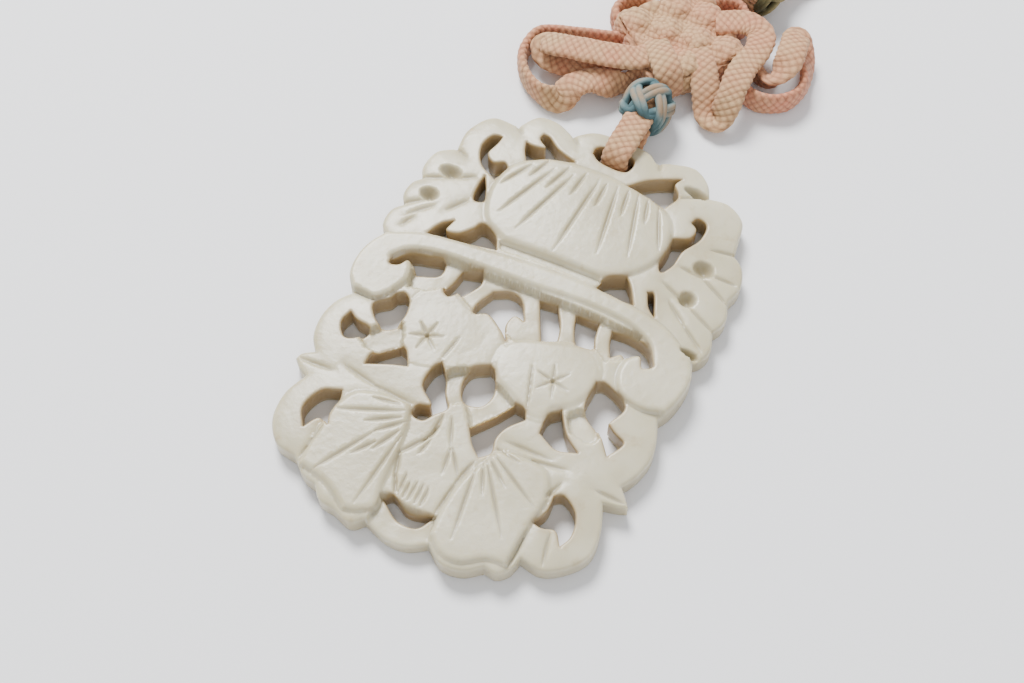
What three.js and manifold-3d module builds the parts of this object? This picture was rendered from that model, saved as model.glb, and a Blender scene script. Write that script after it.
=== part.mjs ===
// A pierced jade plaque on its silk braid: shell, ruyi band, two fruits and two fans inside a
// border of leaves, with the braid's bead knots, woven knot, ear loops and hanging loop.
// Millimetres. The plaque lies flat on z = 0, its cord hole towards +Y.

import * as THREE from 'three';
import { mergeVertices } from 'three/addons/utils/BufferGeometryUtils.js';
import Module from 'manifold-3d';

const wasm = await Module();
wasm.setup();

// ---------------------------------------------------------------- driving dimensions
const RIM_BASE = 2.9;          // height of the border's face where the lens form runs out
const LENS_RISE = 1.7;         // how much the face rises from there to the middle
const LENS_HALF = [38, 54];    // half axes of the lens form in plan
const EDGE_ROUND = 0.45;       // rounding along the outer edge
const BAND_TOP = 5.0;          // top of the ruyi band, the highest flat of the plaque
const LOW_FACE = 3.1;          // face of the struts and tabs behind the front forms
const STRIP_FACE = 3.7;        // face of the strip between shell and band
const FAN_RISE = 0.35;         // the fans stand this much above the border's face
const FACET = 2;               // length of a facet along a curved outline
const SEAT_DEPTH = 2.35;       // depth of the cord's seat under the hole's rim
const BRAID_WIDTH = 4.4;       // flat silk braid
const BRAID_THICKNESS = 1.5;
const BEAD_RADIUS = 4.4;       // bead knots of thin cord round the braid
const BEAD_BORE = 2.95;
const BEAD_LENGTH = 7.4;
const THIN_CORD = 1.25;
const KNOT_SIDE = 14.6;        // woven knot, a square of four straps each way
const KNOT_TURN = 49;          // degrees from +X to the first strap direction
const KNOT_CORE = 5.2;         // height of the woven layers under the top straps
const KNOT_CENTRE = [-0.4, 57];
const GAP = 0.3;               // clearance between pieces

// ---------------------------------------------------------------- solids
function solid(geometry) {
  const bare = geometry.clone();
  bare.deleteAttribute('normal');
  bare.deleteAttribute('uv');
  const welded = mergeVertices(bare, 1e-4);
  return new wasm.Manifold(new wasm.Mesh({
    numProp: 3,
    vertProperties: new Float32Array(welded.attributes.position.array),
    triVerts: new Uint32Array(welded.index.array),
  }));
}

function geometryOf(manifold) {
  const mesh = manifold.getMesh();
  const geometry = new THREE.BufferGeometry();
  geometry.setAttribute('position', new THREE.BufferAttribute(mesh.vertProperties, 3));
  geometry.setIndex(new THREE.BufferAttribute(mesh.triVerts, 1));
  return geometry;
}

const joined = (solids) => solids.reduce((all, one) => all.add(one));

// An outline is a list of smooth runs that meet at corners. Each run starts where the one
// before it ends.
function outline(runs, facet = FACET) {
  const points = [];
  runs.forEach((run, i) => {
    const start = runs[(i + runs.length - 1) % runs.length].at(-1);
    const through = [start, ...run].map(([x, y]) => new THREE.Vector3(x, y, 0));
    const curve = new THREE.CatmullRomCurve3(through, false, 'centripetal');
    const steps = Math.max(1, Math.round(curve.getLength() / facet));
    points.push(...curve.getSpacedPoints(steps).slice(1));
  });
  return points.map((p) => new THREE.Vector2(p.x, p.y));
}

const closed = (points) => [points];

function prism(points, bottom, top, round = 0) {
  const geometry = new THREE.ExtrudeGeometry(new THREE.Shape(points), {
    depth: top - bottom - 2 * round,
    bevelEnabled: round > 0,
    bevelThickness: round,
    bevelSize: round,
    bevelOffset: -round,
    bevelSegments: 1,
  });
  return solid(geometry.translate(0, 0, bottom + round));
}

// A dome: half an ellipsoid's height over an elliptical plan, on a rim at a set height.
function dome(centre, half, rim, rise) {
  const rings = 4;
  const profile = [new THREE.Vector2(0, -8)];
  for (let i = 0; i <= rings; i += 1) {
    const lean = (i / rings) * Math.PI / 2;
    profile.push(new THREE.Vector2(Math.cos(lean), rise * Math.sin(lean)));
  }
  profile.splice(1, 0, new THREE.Vector2(1, -8));
  const geometry = new THREE.LatheGeometry(profile, 18);
  geometry.rotateX(Math.PI / 2);
  geometry.scale(half[0], half[1], 1);
  geometry.translate(centre[0], centre[1], rim);
  return solid(geometry);
}

const domeHeight = (centre, half, rim, rise) => (x, y) => {
  const inside = 1 - ((x - centre[0]) / half[0]) ** 2 - ((y - centre[1]) / half[1]) ** 2;
  return rim + rise * Math.sqrt(Math.max(0, inside));
};

// A wheel-cut line: deepest in the middle and running out at both ends.
function wheelCut([x1, y1, x2, y2], height, width, depth) {
  const start = new THREE.Vector3(x1, y1, height(x1, y1));
  const end = new THREE.Vector3(x2, y2, height(x2, y2));
  const along = end.clone().sub(start);
  const cutter = new THREE.OctahedronGeometry(1);
  cutter.scale(width / 2, depth, along.length() / 2);
  const turn = new THREE.Matrix4().lookAt(start, end, new THREE.Vector3(0, 0, 1));
  cutter.applyMatrix4(turn);
  const middle = start.add(end).multiplyScalar(0.5);
  return solid(cutter.translate(middle.x, middle.y, middle.z));
}

const wheelCuts = (lines, height, width, depth) => lines.map((line) => wheelCut(line, height, width, depth));

// ---------------------------------------------------------------- the plaque's outline
const BORDER = [
  // the lobe with the cord hole, then the leaves down the right side
  [[-5, 34.8], [-1, 35.4], [4.2, 35.1], [5.9, 34]],
  [[8, 34.9], [11.7, 35.7], [14.5, 34], [15.7, 31.8]],
  [[18.8, 32], [21.7, 30.3], [22.6, 26.5], [23, 24.2]],
  [[24.9, 22.6], [25.9, 19.2], [25.2, 16.5]],
  [[26.1, 13.8], [25.9, 12.2], [25.2, 10.9]],
  [[26.1, 8], [25.6, 6.1], [24.5, 4.9]],
  // the band's right end and the right scroll
  [[25.4, 2.9], [25.6, 0.2], [24.9, -3.5], [23.9, -5.4]],
  [[25.1, -8.6], [25.5, -11.4], [24.8, -14.5], [23.6, -16.8]],
  [[25.1, -18.4], [25.6, -19.1]],
  [[24.3, -19.6], [22.4, -20.1]],
  // the right corner, the fans' feet and the middle lobe
  [[23.8, -24], [24, -27.7], [22, -30.6], [19, -32.5], [15.8, -32.2]],
  [[15.2, -34.3], [13.8, -35.6], [12, -35.5]],
  [[9.6, -37.3], [6.6, -37.7], [3.7, -35.9]],
  [[1.1, -37.5], [-1.8, -37.8], [-5.6, -36.7]],
  [[-7.2, -38.1], [-10.1, -37.4], [-12.6, -37], [-14.2, -35.4]],
  [[-16.3, -34.9], [-18.8, -33]],
  // the left corner and up the left side
  [[-22.2, -32.3], [-24.7, -29.2], [-25.1, -25.2], [-23.8, -21.6]],
  [[-25, -21], [-26.5, -19.7]],
  [[-26.2, -18.8], [-24.5, -17.6]],
  [[-26.1, -15.4], [-26.7, -12], [-26, -9], [-24.5, -6.8]],
  [[-26.2, -4.4], [-26.6, -1], [-25.9, 2], [-24.8, 3.9]],
  [[-26.4, 5.7], [-26.4, 8.5], [-25.2, 10.1]],
  [[-26.2, 11.8], [-26, 14.2], [-25, 15.5]],
  [[-25.9, 17.5], [-25.3, 20.8], [-22.8, 22.8]],
  [[-22.9, 26.5], [-20.5, 30.4], [-16.2, 30.7]],
  [[-14, 33.7], [-11, 34], [-7.7, 32.8]],
];

// ---------------------------------------------------------------- holes right through
const HOLES = {
  cord_hole: [[[-3.4, 31.9], [-2.6, 32.6], [2.5, 32.6], [3, 31.4], [2.4, 30], [-2, 30], [-3.4, 30.9]]],
  shell_left: [[[-10.8, 30.7], [-8.5, 29.2], [-5.2, 28.2]], [[-8.2, 27], [-11.9, 25]],
    [[-13, 26.7], [-13.6, 28.3]], [[-12.4, 28.1], [-10.4, 28.6], [-11.9, 29.8], [-11.8, 30.8]]],
  leaf_curl_left: [[[-18.6, 27.2], [-19.4, 24.8], [-18, 21.7], [-14.9, 19.9]],
    [[-14, 22.6], [-14.8, 23.3], [-16.4, 22.6], [-17.9, 23.7], [-17.4, 26.2], [-17.3, 27.5]]],
  shell_slot: [[[-15.1, 17.6], [-14.5, 15.5], [-15.9, 15.2], [-16.5, 18.1], [-16.4, 19.8]]],
  leaf_check: [[[-18.3, 9.3], [-19.4, 6.9]], [[-14, 7.7], [-8.8, 8.8]],
    [[-10, 10.9], [-12.7, 12], [-13.5, 10.6], [-15.2, 8.8], [-17.1, 8.5], [-16.8, 10.6]]],
  band_curl_left: [[[-20, 2.6], [-17.4, 3.5], [-14.9, 4], [-14.6, 1.8], [-17.6, 0.3]],
    [[-19.4, 1.2], [-20.4, -0.2], [-21.7, -0.5], [-21.9, 0.4]]],
  under_band_2: [[[-8.9, 4.8]], [[-8.5, 3.1], [-10.5, -0.3], [-11.5, -1.4], [-12.6, -0.7], [-12.1, 1.8], [-11.8, 3.9]]],
  under_band_3: [[[-4, 4], [-2.1, 3.6], [-0.1, 0.6]], [[-1.7, 0.8], [-2.2, -1.1], [-0.6, -4.2]],
    [[-2.1, -2.9], [-5, -1.4], [-6.8, -2.2], [-7.5, -0.6], [-6.3, 2.9]]],
  under_band_4: [[[3.2, 5]], [[5, 2], [5.5, -0.9], [3.8, -1.6]], [[2, 1.7], [0.5, 4.6]]],
  under_band_5: [[[9.9, 5]], [[10.3, 2.6], [11, 0.3], [8.6, -0.3]], [[7, 2.8], [6.3, 4.9]]],
  band_curl_right: [[[15, 5], [18, 4.1], [20, 1.4]], [[18.7, 0.4], [17.6, 2], [15.9, 1.4], [14.8, 2], [13.6, 0.9]],
    [[12.6, 2.9], [12.1, 4.8]]],
  leaf_foot_right: [[[7.7, 11.6], [10.4, 13.3]], [[11.6, 12], [13.2, 9.4]], [[10, 9.3], [7.1, 9.6]]],
  leaf_finger: [[[14.9, 12.6], [16.7, 9]], [[15.4, 10], [14.2, 12.3]]],
  shell_right: [[[6.4, 30.3], [10.6, 32.7]], [[10.1, 31.3], [11.4, 29.6], [10.4, 26.7]], [[7, 27.4], [3.8, 27.8]]],
  leaf_curl_right: [[[15.6, 27.3], [17.2, 26.9], [17.4, 24.1], [15.9, 21], [15.5, 18], [14.5, 16.3],
    [13.7, 17.4], [13.9, 20.4], [13.8, 22.4]], [[16.1, 23.8], [16.2, 25.5], [15.1, 26.2]]],
  scroll_left_upper: [[[-17.5, -3.7], [-16.2, -4.5], [-15.7, -8], [-18, -9.9], [-20.7, -7.2], [-18.9, -5.3], [-18.5, -4.3]]],
  scroll_left_lower: [[[-21.5, -10.6], [-19.2, -11], [-20.1, -13.1], [-21.8, -13.8], [-23.4, -11.8], [-23, -9.8]]],
  fruit_left_foot: [[[-12.8, -11.8], [-11.3, -14]], [[-13.8, -14.9], [-17, -16.3]], [[-16.8, -14.4], [-14, -11.4]]],
  centre_left: [[[-5.9, -12.7], [-4.7, -15.1], [-3.1, -17.3], [-4.3, -19], [-5.4, -20.5], [-7.1, -20.3],
    [-7.2, -18.8], [-5.4, -17.9], [-7.9, -15.7], [-7.9, -12.4], [-7.2, -11.3]]],
  centre_top: [[[-3, -10.2], [-3.3, -12.4], [-1.8, -14.9], [0.6, -14.4], [1.4, -12.2], [0.1, -9.1], [-0.8, -8.6]]],
  centre_right: [[[6.6, -12.6], [7.4, -14]], [[5.5, -16.5], [5, -18.5], [5.4, -20.6], [4.2, -22]],
    [[2.6, -20.7], [0.9, -18.4]], [[3.4, -15], [5, -12.3]]],
  fruit_right_foot: [[[10, -11.8], [10.1, -14.9]], [[13.2, -16.1], [16.1, -15.2]], [[13.6, -13.5], [11.3, -10.4]]],
  scroll_right: [[[14.8, -3.8], [19, -5.9], [18, -9.3]], [[19.5, -10.2], [21.1, -11], [19.9, -13.8]],
    [[17.6, -11.2], [14.1, -8.7], [13.8, -4.3]]],
  corner_left: [[[-17.4, -22.6], [-17.5, -25.3], [-16.9, -27]], [[-18.6, -26.5], [-20, -28.6]],
    [[-21.5, -26], [-20.4, -22.7], [-17.8, -21.4]]],
  corner_right: [[[17, -21.7], [19.7, -23.4], [20.5, -26.6], [19.8, -28.4]], [[18.3, -26.7], [16.4, -27.2], [15.1, -27]],
    [[16.1, -24.6], [16, -22.3]]],
  comb_slot: [[[-3.9, -32], [-1, -33.1], [2.6, -32.2]], [[1.2, -34.5], [-1.5, -34.8], [-4.8, -32.9]]],
};

// ---------------------------------------------------------------- forms on the face
const SHELL = [
  [[-8.5, 27], [0, 28], [8, 27.2]],
  [[12, 25.2], [13.9, 20.5], [12.9, 16.4], [9, 12], [7, 11.3]],
  [[0, 11.1], [-8.7, 10.5]],
  [[-12.6, 12.6], [-14.5, 17.5], [-13.8, 22.8], [-12, 25.1]],
];
const SHELL_DOME = [[-0.3, 19.3], [21, 14], 3.4, 1.95];
const SHELL_RIBS = [
  [-10.6, 24.6, -13.5, 19.2], [-8.5, 26.5, -10.2, 22.1], [-7.1, 25.4, -11.5, 14.4], [-5.2, 26.7, -7, 21.2],
  [-4, 25.6, -7.8, 12.9], [-2.5, 26.7, -3.1, 21.7], [-0.2, 26.6, -1.1, 11.9], [1, 26.3, 1.1, 21.5],
  [2.7, 26.7, 4.9, 14.2], [4.4, 26.9, 5.3, 21.7], [6, 27, 9.2, 15.8], [7.7, 26.7, 9, 22.1], [9.5, 26.5, 12.9, 18.8],
];
const STRIP = [[[-3, 11], [7, 11.2], [7.3, 9.7]], [[0, 9.8], [-8.6, 9.1]], [[-9, 10.4]]];

const BAND = [
  [[-19.6, 6.4], [-10, 8], [0, 9.1], [10.5, 9.2], [18.8, 8], [24.4, 4.8]],
  [[25.7, 2], [25.6, -1.2], [24.6, -4.4]],
  [[21, -5.4], [17.4, -4.5], [15.9, -2], [16, 0.7], [17.8, 2.2], [19.6, 0.9], [18.3, 4], [14.7, 5.8],
    [8.4, 6.3], [-2, 5.4], [-10, 4.8], [-15.8, 4.2], [-20.2, 2.8], [-22, 0.6], [-19.2, 1.2], [-18, -1.5], [-19.1, -4.7]],
  [[-20.9, -6.5], [-24.8, -6.4]],
  [[-26.7, -4], [-26.8, 0], [-25, 4]],
];

const FRUIT_LEFT = [
  [[-16, -6], [-15.1, -2.4], [-12.2, -0.5], [-7, -2.2], [-4.7, -1.7], [-1.2, -4.1], [0.4, -6]],
  [[-0.8, -8.5], [-4.8, -11], [-9, -13], [-11.3, -13.5]],
  [[-13.8, -10.8], [-15.4, -8.1]],
];
const FRUIT_LEFT_DOME = [[-8.2, -6.6], [13.5, 10.5], 2.9, 1.75];
const FRUIT_RIGHT = [
  [[0, -3.8], [4.9, -1.5], [10.9, 0], [13.4, -1.8], [14.1, -5.2], [12.6, -9.1], [10.2, -11]],
  [[9.8, -13.2], [7.4, -13.7], [4.6, -12.1], [0.9, -10.6]],
  [[-0.6, -8.5], [-0.9, -6]],
];
const FRUIT_RIGHT_DOME = [[6.6, -6.4], [13.5, 10.5], 3.2, 1.75];
const star = ([x, y], turn, reach) => [0, 1, 2].map((arm) => {
  const angle = (turn + 60 * arm) * Math.PI / 180;
  const dx = reach * Math.cos(angle);
  const dy = reach * Math.sin(angle);
  return [x - dx, y - dy, x + dx, y + dy];
});

const FAN_LEFT = [
  [[-7.9, -19.4], [-10.5, -19.3], [-15.6, -20.6], [-17.4, -23.6], [-17.9, -30], [-17.7, -33.8]],
  [[-15, -34.2], [-12.4, -34.9], [-8.9, -37]],
  [[-7, -36.4], [-5, -34.8], [-5.5, -31.5], [-6, -26.2], [-6.6, -22.5]],
];
const FAN_RIGHT = [
  [[6.2, -20], [9, -19.3], [13.7, -19.8], [15.4, -23], [15, -28], [14.6, -34.2]],
  [[12, -34.6], [8.7, -36.7], [6, -36.7], [3.4, -34.9]],
  [[3.2, -29.8], [3.8, -25.5], [5.2, -22.4]],
];
const FAN_LINES = [
  [-8.9, -19.8, -13.4, -20.7], [-7.9, -20.5, -17.4, -24.6], [-7.9, -21.5, -12.6, -24.4], [-7, -21.7, -10.6, -25.2],
  [-10.2, -24.7, -15.6, -34.2], [-7.3, -23.3, -9.5, -27.8], [-9.4, -26.2, -11.8, -29.5], [-6.7, -23.5, -7.8, -35.8],
  [5.6, -19.6, 9.9, -20.4], [5.7, -20.6, 14.6, -25.4], [5.4, -21.3, 9.7, -24.6], [5.3, -21.8, 12.5, -31.2],
  [5.1, -22.3, 7.3, -26.9], [4.6, -23, 6.5, -34.5],
];
const CENTRE_LINES = [
  [-2.7, -20, -3.9, -23.8], [-2.9, -22.5, -3.5, -25.4], [-1.9, -18.3, 0.1, -22.5], [0.1, -22.3, 0.9, -26.5],
  [0.2, -22.2, 3, -25.8], [-3.5, -28.3, -3.1, -32.1], [-2.5, -29.2, -2.3, -32.1], [-1.6, -28.8, -1.5, -32.1],
  [-0.7, -28.8, -0.5, -32.1], [0.2, -28.9, 0.4, -32.1],
];
const CENTRE_EDGES = [
  [-3.1, -18.3, -3.1, -22.6], [-3.1, -22, -6.2, -26.6], [-6, -25.8, -4.6, -30.2], [-4.9, -29, -3.4, -32],
  [4, -22.6, 3, -27], [3.2, -26, 2.6, -32.4],
];

// creases that part one leaf from the next, from the notch in the rim inwards
const CREASES = [
  [-8.4, 33.6, -6.2, 31.2], [-16.8, 31.4, -14.8, 29.2], [-23.6, 23, -20.6, 21.8], [-25.8, 15.3, -19.8, 17.7],
  [-20.2, 17.5, -17.4, 19.2], [-26, 9.8, -22.2, 12.3], [-16.5, 14.9, -19, 11.6], [-20.6, 11.9, -24, 8.6],
  [-22.5, 9, -23.8, 6.3], [6.2, 34.8, 7, 32.4], [16.3, 32.4, 11.6, 29.4], [23.9, 24.4, 19.4, 23.2],
  [25.9, 15.6, 20, 18.3], [20.6, 18.2, 16.4, 18.5], [21, 19.2, 25.4, 19.4], [26, 10.4, 20.4, 12.8],
  [21, 12.6, 15.2, 15], [17.4, 12.4, 21.3, 9.5], [20.7, 9.9, 25, 7], [-24.4, -6.4, -20.8, -6.6],
  [-19.6, -17.7, -13.3, -18.8], [-14.5, -18.6, -7.9, -18.9], [6.2, -18.1, 13.4, -17.8], [10.3, -19.1, 15.9, -18.2],
  [-26, -19.5, -20.5, -19.2], [20.5, -19, 25.1, -18.9], [17.8, -27.3, 18.9, -32], [-17.3, -27.2, -18.2, -33],
  [15, -23.5, 16, -20], [14.9, -28, 14.9, -34.4],
];

// drilled hollows that stop short of the back
const HOLLOWS = [
  [-21.4, 18.2, 3.2, 1.9], [-22.5, 13.2, 2.6, 2], [19.9, 19.6, 2.8, 2.3], [19.8, 13.9, 2.3, 2.2], [23.6, 5.8, 2.7, 1.2],
  [13.6, 31.5, 3.6, 1.3], [-6.3, -19.6, 1.6, 1.6],
];

// lower areas: struts under the band, tabs beside the fruits, the slab in the middle, the foot lobe
const LOW_AREAS = [
  [[[-7, 4.6], [6, 5.4], [16.4, 5.3]], [[16.2, 1.6], [13.4, -0.6]], [[11, 0.6], [7.4, -0.1], [0.4, -3.4], [-4.7, -1],
    [-7, -1.6], [-12, 0.2], [-14.6, -1.6], [-17.6, -2.4]], [[-18.2, 0.2], [-14.8, 4.2]]],
  [[[-19.9, -12.5], [-18.3, -10.2], [-15.4, -8.3], [-13.7, -11.3]], [[-16.7, -13.9], [-18.3, -13.9]]],
  [[[12.4, -10.6], [13.8, -9.1], [16.7, -10.4], [17.8, -11.6]], [[16.9, -13.1], [13.8, -12.9]]],
  [[[-5.7, -12], [-3.2, -10.5], [1.5, -10.9], [4.9, -12.4]], [[4, -14], [0.9, -18.3]], [[-1.5, -15.6], [-4, -17.4]],
    [[-5.8, -14.2]]],
  [[[-4.9, -32.4], [-1, -32.7], [3, -32.2]], [[3.9, -36.4], [4, -40]], [[-5.6, -40]], [[-5.2, -36]]],
];

// ridges along the scrolls: each runs along the middle of a scroll and sinks in at its ends
const RIDGES = [
  [[-23.6, -8.4], [-25, -11.6], [-23.4, -15.2], [-19.2, -17], [-13, -17.4]],
  [[22.4, -7.6], [23.6, -11.6], [22.1, -14.8], [18, -16.6], [13, -17]],
  [[-19.6, -20], [-22.6, -23], [-23.2, -27.4], [-21.4, -30.9], [-19.2, -30.4]],
  [[17.4, -20], [20.8, -22.4], [22.3, -26.4], [20.9, -29.9], [17.6, -30.2]],
];

function ridge(plan) {
  const last = plan.length - 1;
  const points = plan.map(([x, y], i) => new THREE.Vector3(x, y, lensHeight(x, y) - (i % last === 0 ? 0.9 : 0.1)));
  const section = new THREE.Shape([[0.45, 0], [0.3, 1], [-0.3, 1], [-0.6, 0], [-0.3, -1], [0.3, -1]]
    .map(([x, y]) => new THREE.Vector2(x, y)));
  return solid(new THREE.ExtrudeGeometry(section, {
    steps: 10, bevelEnabled: false, extrudePath: new FlatPath(points, points.map(() => 90)),
  }));
}

const LENS = [[0, 0], LENS_HALF, RIM_BASE, LENS_RISE];
const lensHeight = domeHeight(...LENS);

// ---------------------------------------------------------------- ribbons
// A path whose section keeps its width level, or leans by a given angle at each point:
// 0 lies flat and 90 stands on edge.
class FlatPath extends THREE.CatmullRomCurve3 {
  constructor(points, leans) {
    super(points, false, 'centripetal');
    this.leans = leans;
  }

  leanAt(u) {
    const t = this.getUtoTmapping(u) * (this.leans.length - 1);
    const i = Math.min(Math.floor(t), this.leans.length - 2);
    return THREE.MathUtils.degToRad(THREE.MathUtils.lerp(this.leans[i], this.leans[i + 1], t - i));
  }

  computeFrenetFrames(steps) {
    const up = new THREE.Vector3(0, 0, 1);
    const frames = { tangents: [], normals: [], binormals: [] };
    let side = null;
    for (let i = 0; i <= steps; i += 1) {
      const tangent = this.getTangentAt(i / steps);
      const level = new THREE.Vector3().crossVectors(tangent, up);
      if (side !== null && level.length() < 0.2) {
        level.copy(side).addScaledVector(tangent, -side.dot(tangent));
      }
      level.normalize();
      if (side !== null && level.dot(side) < 0) {
        level.negate();
      }
      side = level;
      const normal = level.clone().applyAxisAngle(tangent, this.leanAt(i / steps));
      frames.tangents.push(tangent);
      frames.normals.push(normal);
      frames.binormals.push(new THREE.Vector3().crossVectors(tangent, normal));
    }
    return frames;
  }
}

function flatSection(width, thickness) {
  const x = width / 2;
  const y = thickness / 2;
  return new THREE.Shape([[x, -y * 0.4], [x, y * 0.4], [x * 0.75, y], [-x * 0.75, y], [-x, y * 0.4], [-x, -y * 0.4],
    [-x * 0.75, -y], [x * 0.75, -y]].map(([a, b]) => new THREE.Vector2(a, b)));
}

function strapSection(width, thickness) {
  const x = width / 2;
  const y = thickness / 2;
  return new THREE.Shape([[x, 0], [x * 0.8, y], [-x * 0.8, y], [-x, 0], [-x * 0.8, -y], [x * 0.8, -y]]
    .map(([a, b]) => new THREE.Vector2(a, b)));
}

function ribbon(route, step = 3.4, section = flatSection(BRAID_WIDTH, BRAID_THICKNESS)) {
  const points = route.map(([x, y, z]) => new THREE.Vector3(x, y, z));
  const path = new FlatPath(points, route.map((point) => point[3] ?? 0));
  return solid(new THREE.ExtrudeGeometry(section, {
    steps: Math.round(path.getLength() / step), bevelEnabled: false, extrudePath: path,
  }));
}

// ---------------------------------------------------------------- the plaque
function plaque() {
  const rim = prism(outline(BORDER, 2.1), 0, RIM_BASE + LENS_RISE + 0.6, EDGE_ROUND);
  const full = prism(outline(BORDER, 2.1), 0, BAND_TOP + 0.4 + EDGE_ROUND, EDGE_ROUND);
  let ground = rim.intersect(dome(...LENS));
  const low = LOW_AREAS.map((area) => prism(outline(area, 2), LOW_FACE, 9));
  const strip = prism(outline(STRIP, 2), STRIP_FACE, 9);
  ground = ground.subtract(joined([...low, strip]));

  const fanDome = [LENS[0], LENS[1], RIM_BASE + FAN_RISE, LENS_RISE];
  const fans = [FAN_LEFT, FAN_RIGHT].map((fan) => prism(outline(fan, 2), 1.5, 6).intersect(dome(...fanDome)));
  const shell = prism(outline(SHELL, 1.8), 1.5, 7).intersect(dome(...SHELL_DOME));
  const fruits = [
    prism(outline(FRUIT_LEFT, 1.6), 1.5, 6).intersect(dome(...FRUIT_LEFT_DOME)),
    prism(outline(FRUIT_RIGHT, 1.6), 1.5, 6).intersect(dome(...FRUIT_RIGHT_DOME)),
  ];
  const band = prism(outline(BAND, 1.6), 1, BAND_TOP, 0.4);
  const raised = joined([...fans, shell, ...fruits, band, ...RIDGES.map(ridge)]);

  const holes = Object.values(HOLES).map((hole) => prism(outline(hole), -1, 8));
  const seat = solid(new THREE.BoxGeometry(BRAID_WIDTH + 2 * GAP + 0.6, 9, SEAT_DEPTH * 2)
    .rotateX(THREE.MathUtils.degToRad(8)).translate(0.2, 35.2, 0));
  const fanHeight = domeHeight(...fanDome);
  const cuts = [
    ...wheelCuts(SHELL_RIBS, domeHeight(...SHELL_DOME), 0.8, 0.5),
    ...wheelCuts(star([-11.1, -8.5], 20, 2.7), domeHeight(...FRUIT_LEFT_DOME), 0.6, 0.4),
    ...wheelCuts(star([8.3, -7.1], 50, 2.8), domeHeight(...FRUIT_RIGHT_DOME), 0.6, 0.4),
    ...wheelCuts([[-6.7, -6.4, -7.6, -11.5]], domeHeight(...FRUIT_LEFT_DOME), 0.6, 0.4),
    ...wheelCuts([[4.4, -5.5, 7.2, -13.4]], domeHeight(...FRUIT_RIGHT_DOME), 0.6, 0.4),
    ...wheelCuts(FAN_LINES, fanHeight, 0.7, 0.45),
    ...wheelCuts([...CENTRE_LINES, ...CENTRE_EDGES], lensHeight, 0.7, 0.45),
    ...wheelCuts(CREASES, lensHeight, 1.1, 0.7),
    ...HOLLOWS.map(([x, y, wide, deep]) => solid(new THREE.OctahedronGeometry(1)
      .rotateZ(0.5).scale(wide / 2, deep * 0.45, 4.2).translate(x, y, 5.4))),
  ];
  return ground.add(raised.intersect(full)).subtract(joined([...holes, seat])).subtract(joined(cuts));
}

// ---------------------------------------------------------------- silk: loops, beads and knot
// Routes are plan position, height and lean of the braid.
const HANGING_LOOP = [
  [0.5, 45.5, 5.55], [0.4, 42.5, 5.55], [0.4, 38, 5.75], [0.3, 35.6, 5.7], [0.2, 33.6, 5.55], [0.1, 32.2, 5.35],
  [0, 31.4, 4.6], [0, 31.2, 3.2], [0, 31.3, 1.8], [0, 31.9, 1], [0, 33, 0.82], [0.1, 34.6, 0.85], [0.2, 36.4, 1.2],
  [0.4, 37.9, 2.5], [0.4, 39.4, 3.35], [0.4, 42.5, 3.35], [0.5, 45.5, 3.35],
];
const EAR_LEFT_UPPER = [
  [-2.6, 51.5, 5.6], [-4.6, 49.4, 5.8], [-8, 47.9, 6.2], [-12.5, 46.9, 6.1], [-16.8, 46.4, 5.6], [-19.4, 46.5, 4.3],
  [-18.6, 45.6, 2.7], [-15.4, 45.6, 2.4], [-12, 47.2, 2.5], [-8.8, 49.4, 2.9], [-4.6, 52, 3.2],
];
const EAR_LEFT_LOWER = [
  [-7.6, 55, 2.3, 90], [-11, 53.2, 2.3, 90], [-16.4, 51.4, 2.3, 90], [-21.6, 49, 2.3, 90], [-22.2, 44.2, 2.3, 90],
  [-19.6, 40.4, 2.3, 90], [-15.6, 38.6, 2.3, 80], [-12.9, 39.2, 2.4, 40], [-12, 41.4, 3.4, 5], [-9.9, 43.4, 3.9, 0],
  [-7, 44.6, 3.4, 40], [-5.6, 46, 2.5, 85], [-4.2, 48.4, 2.3, 90], [-2, 51, 2.3, 90],
];
const EAR_RIGHT_LOWER = [
  [3.4, 55.8, 5.2], [5.4, 52.6, 5.2], [7.2, 49.8, 4], [9.1, 47.2, 1.7], [10.8, 46.7, 1.9], [11.4, 48.4, 4.4],
  [11.2, 51, 5.8], [11.2, 55.1, 6.2], [11.9, 59.2, 6.1], [10.8, 62.8, 5.8], [8.2, 63.6, 5.9], [3.6, 61.6, 5.6],
];
const EAR_RIGHT_UPPER = [
  [4.2, 56, 2.35, 90], [8, 55.2, 2.35, 90], [11.6, 53.6, 2.35, 90], [15.1, 52.6, 2.35, 90], [19, 54.4, 2.35, 90],
  [20.4, 58, 2.35, 90], [19.6, 61.6, 2.6, 60], [18, 64.2, 3.2, 20], [16.4, 65.4, 4.7, 0], [16.6, 62, 6.2, 0],
  [16.9, 58.6, 6, 0], [15.6, 56.6, 4, 40], [13.4, 57.6, 2.35, 90], [10.1, 59.4, 2.35, 90], [5.4, 60.8, 2.35, 90],
];
const SIDE_LOOPS = [
  [[-4, 60.6, 2.3, 90], [-8.4, 62.4, 2.3, 90], [-11.6, 61.2, 2.3, 90], [-12.4, 58.2, 2.3, 90], [-10, 56.4, 2.3, 90],
    [-5.6, 57, 2.3, 90]],
  [[-1, 63.4, 2.3, 90], [2.2, 67.6, 2.3, 90], [5.6, 68.2, 2.3, 90], [7.2, 65.6, 2.3, 90], [6, 63, 2.3, 90],
    [2, 60, 2.3, 90]],
];
const FRONT_STRAP = [[-3.2, 53.4, 5.6], [-1, 50.8, 6.7], [0.9, 48.7, 6.4], [1.9, 47.6, 4.4], [1.6, 47.9, 2.2], [0.2, 50, 1.2],
  [-2, 52.6, 1.4]];
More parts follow.
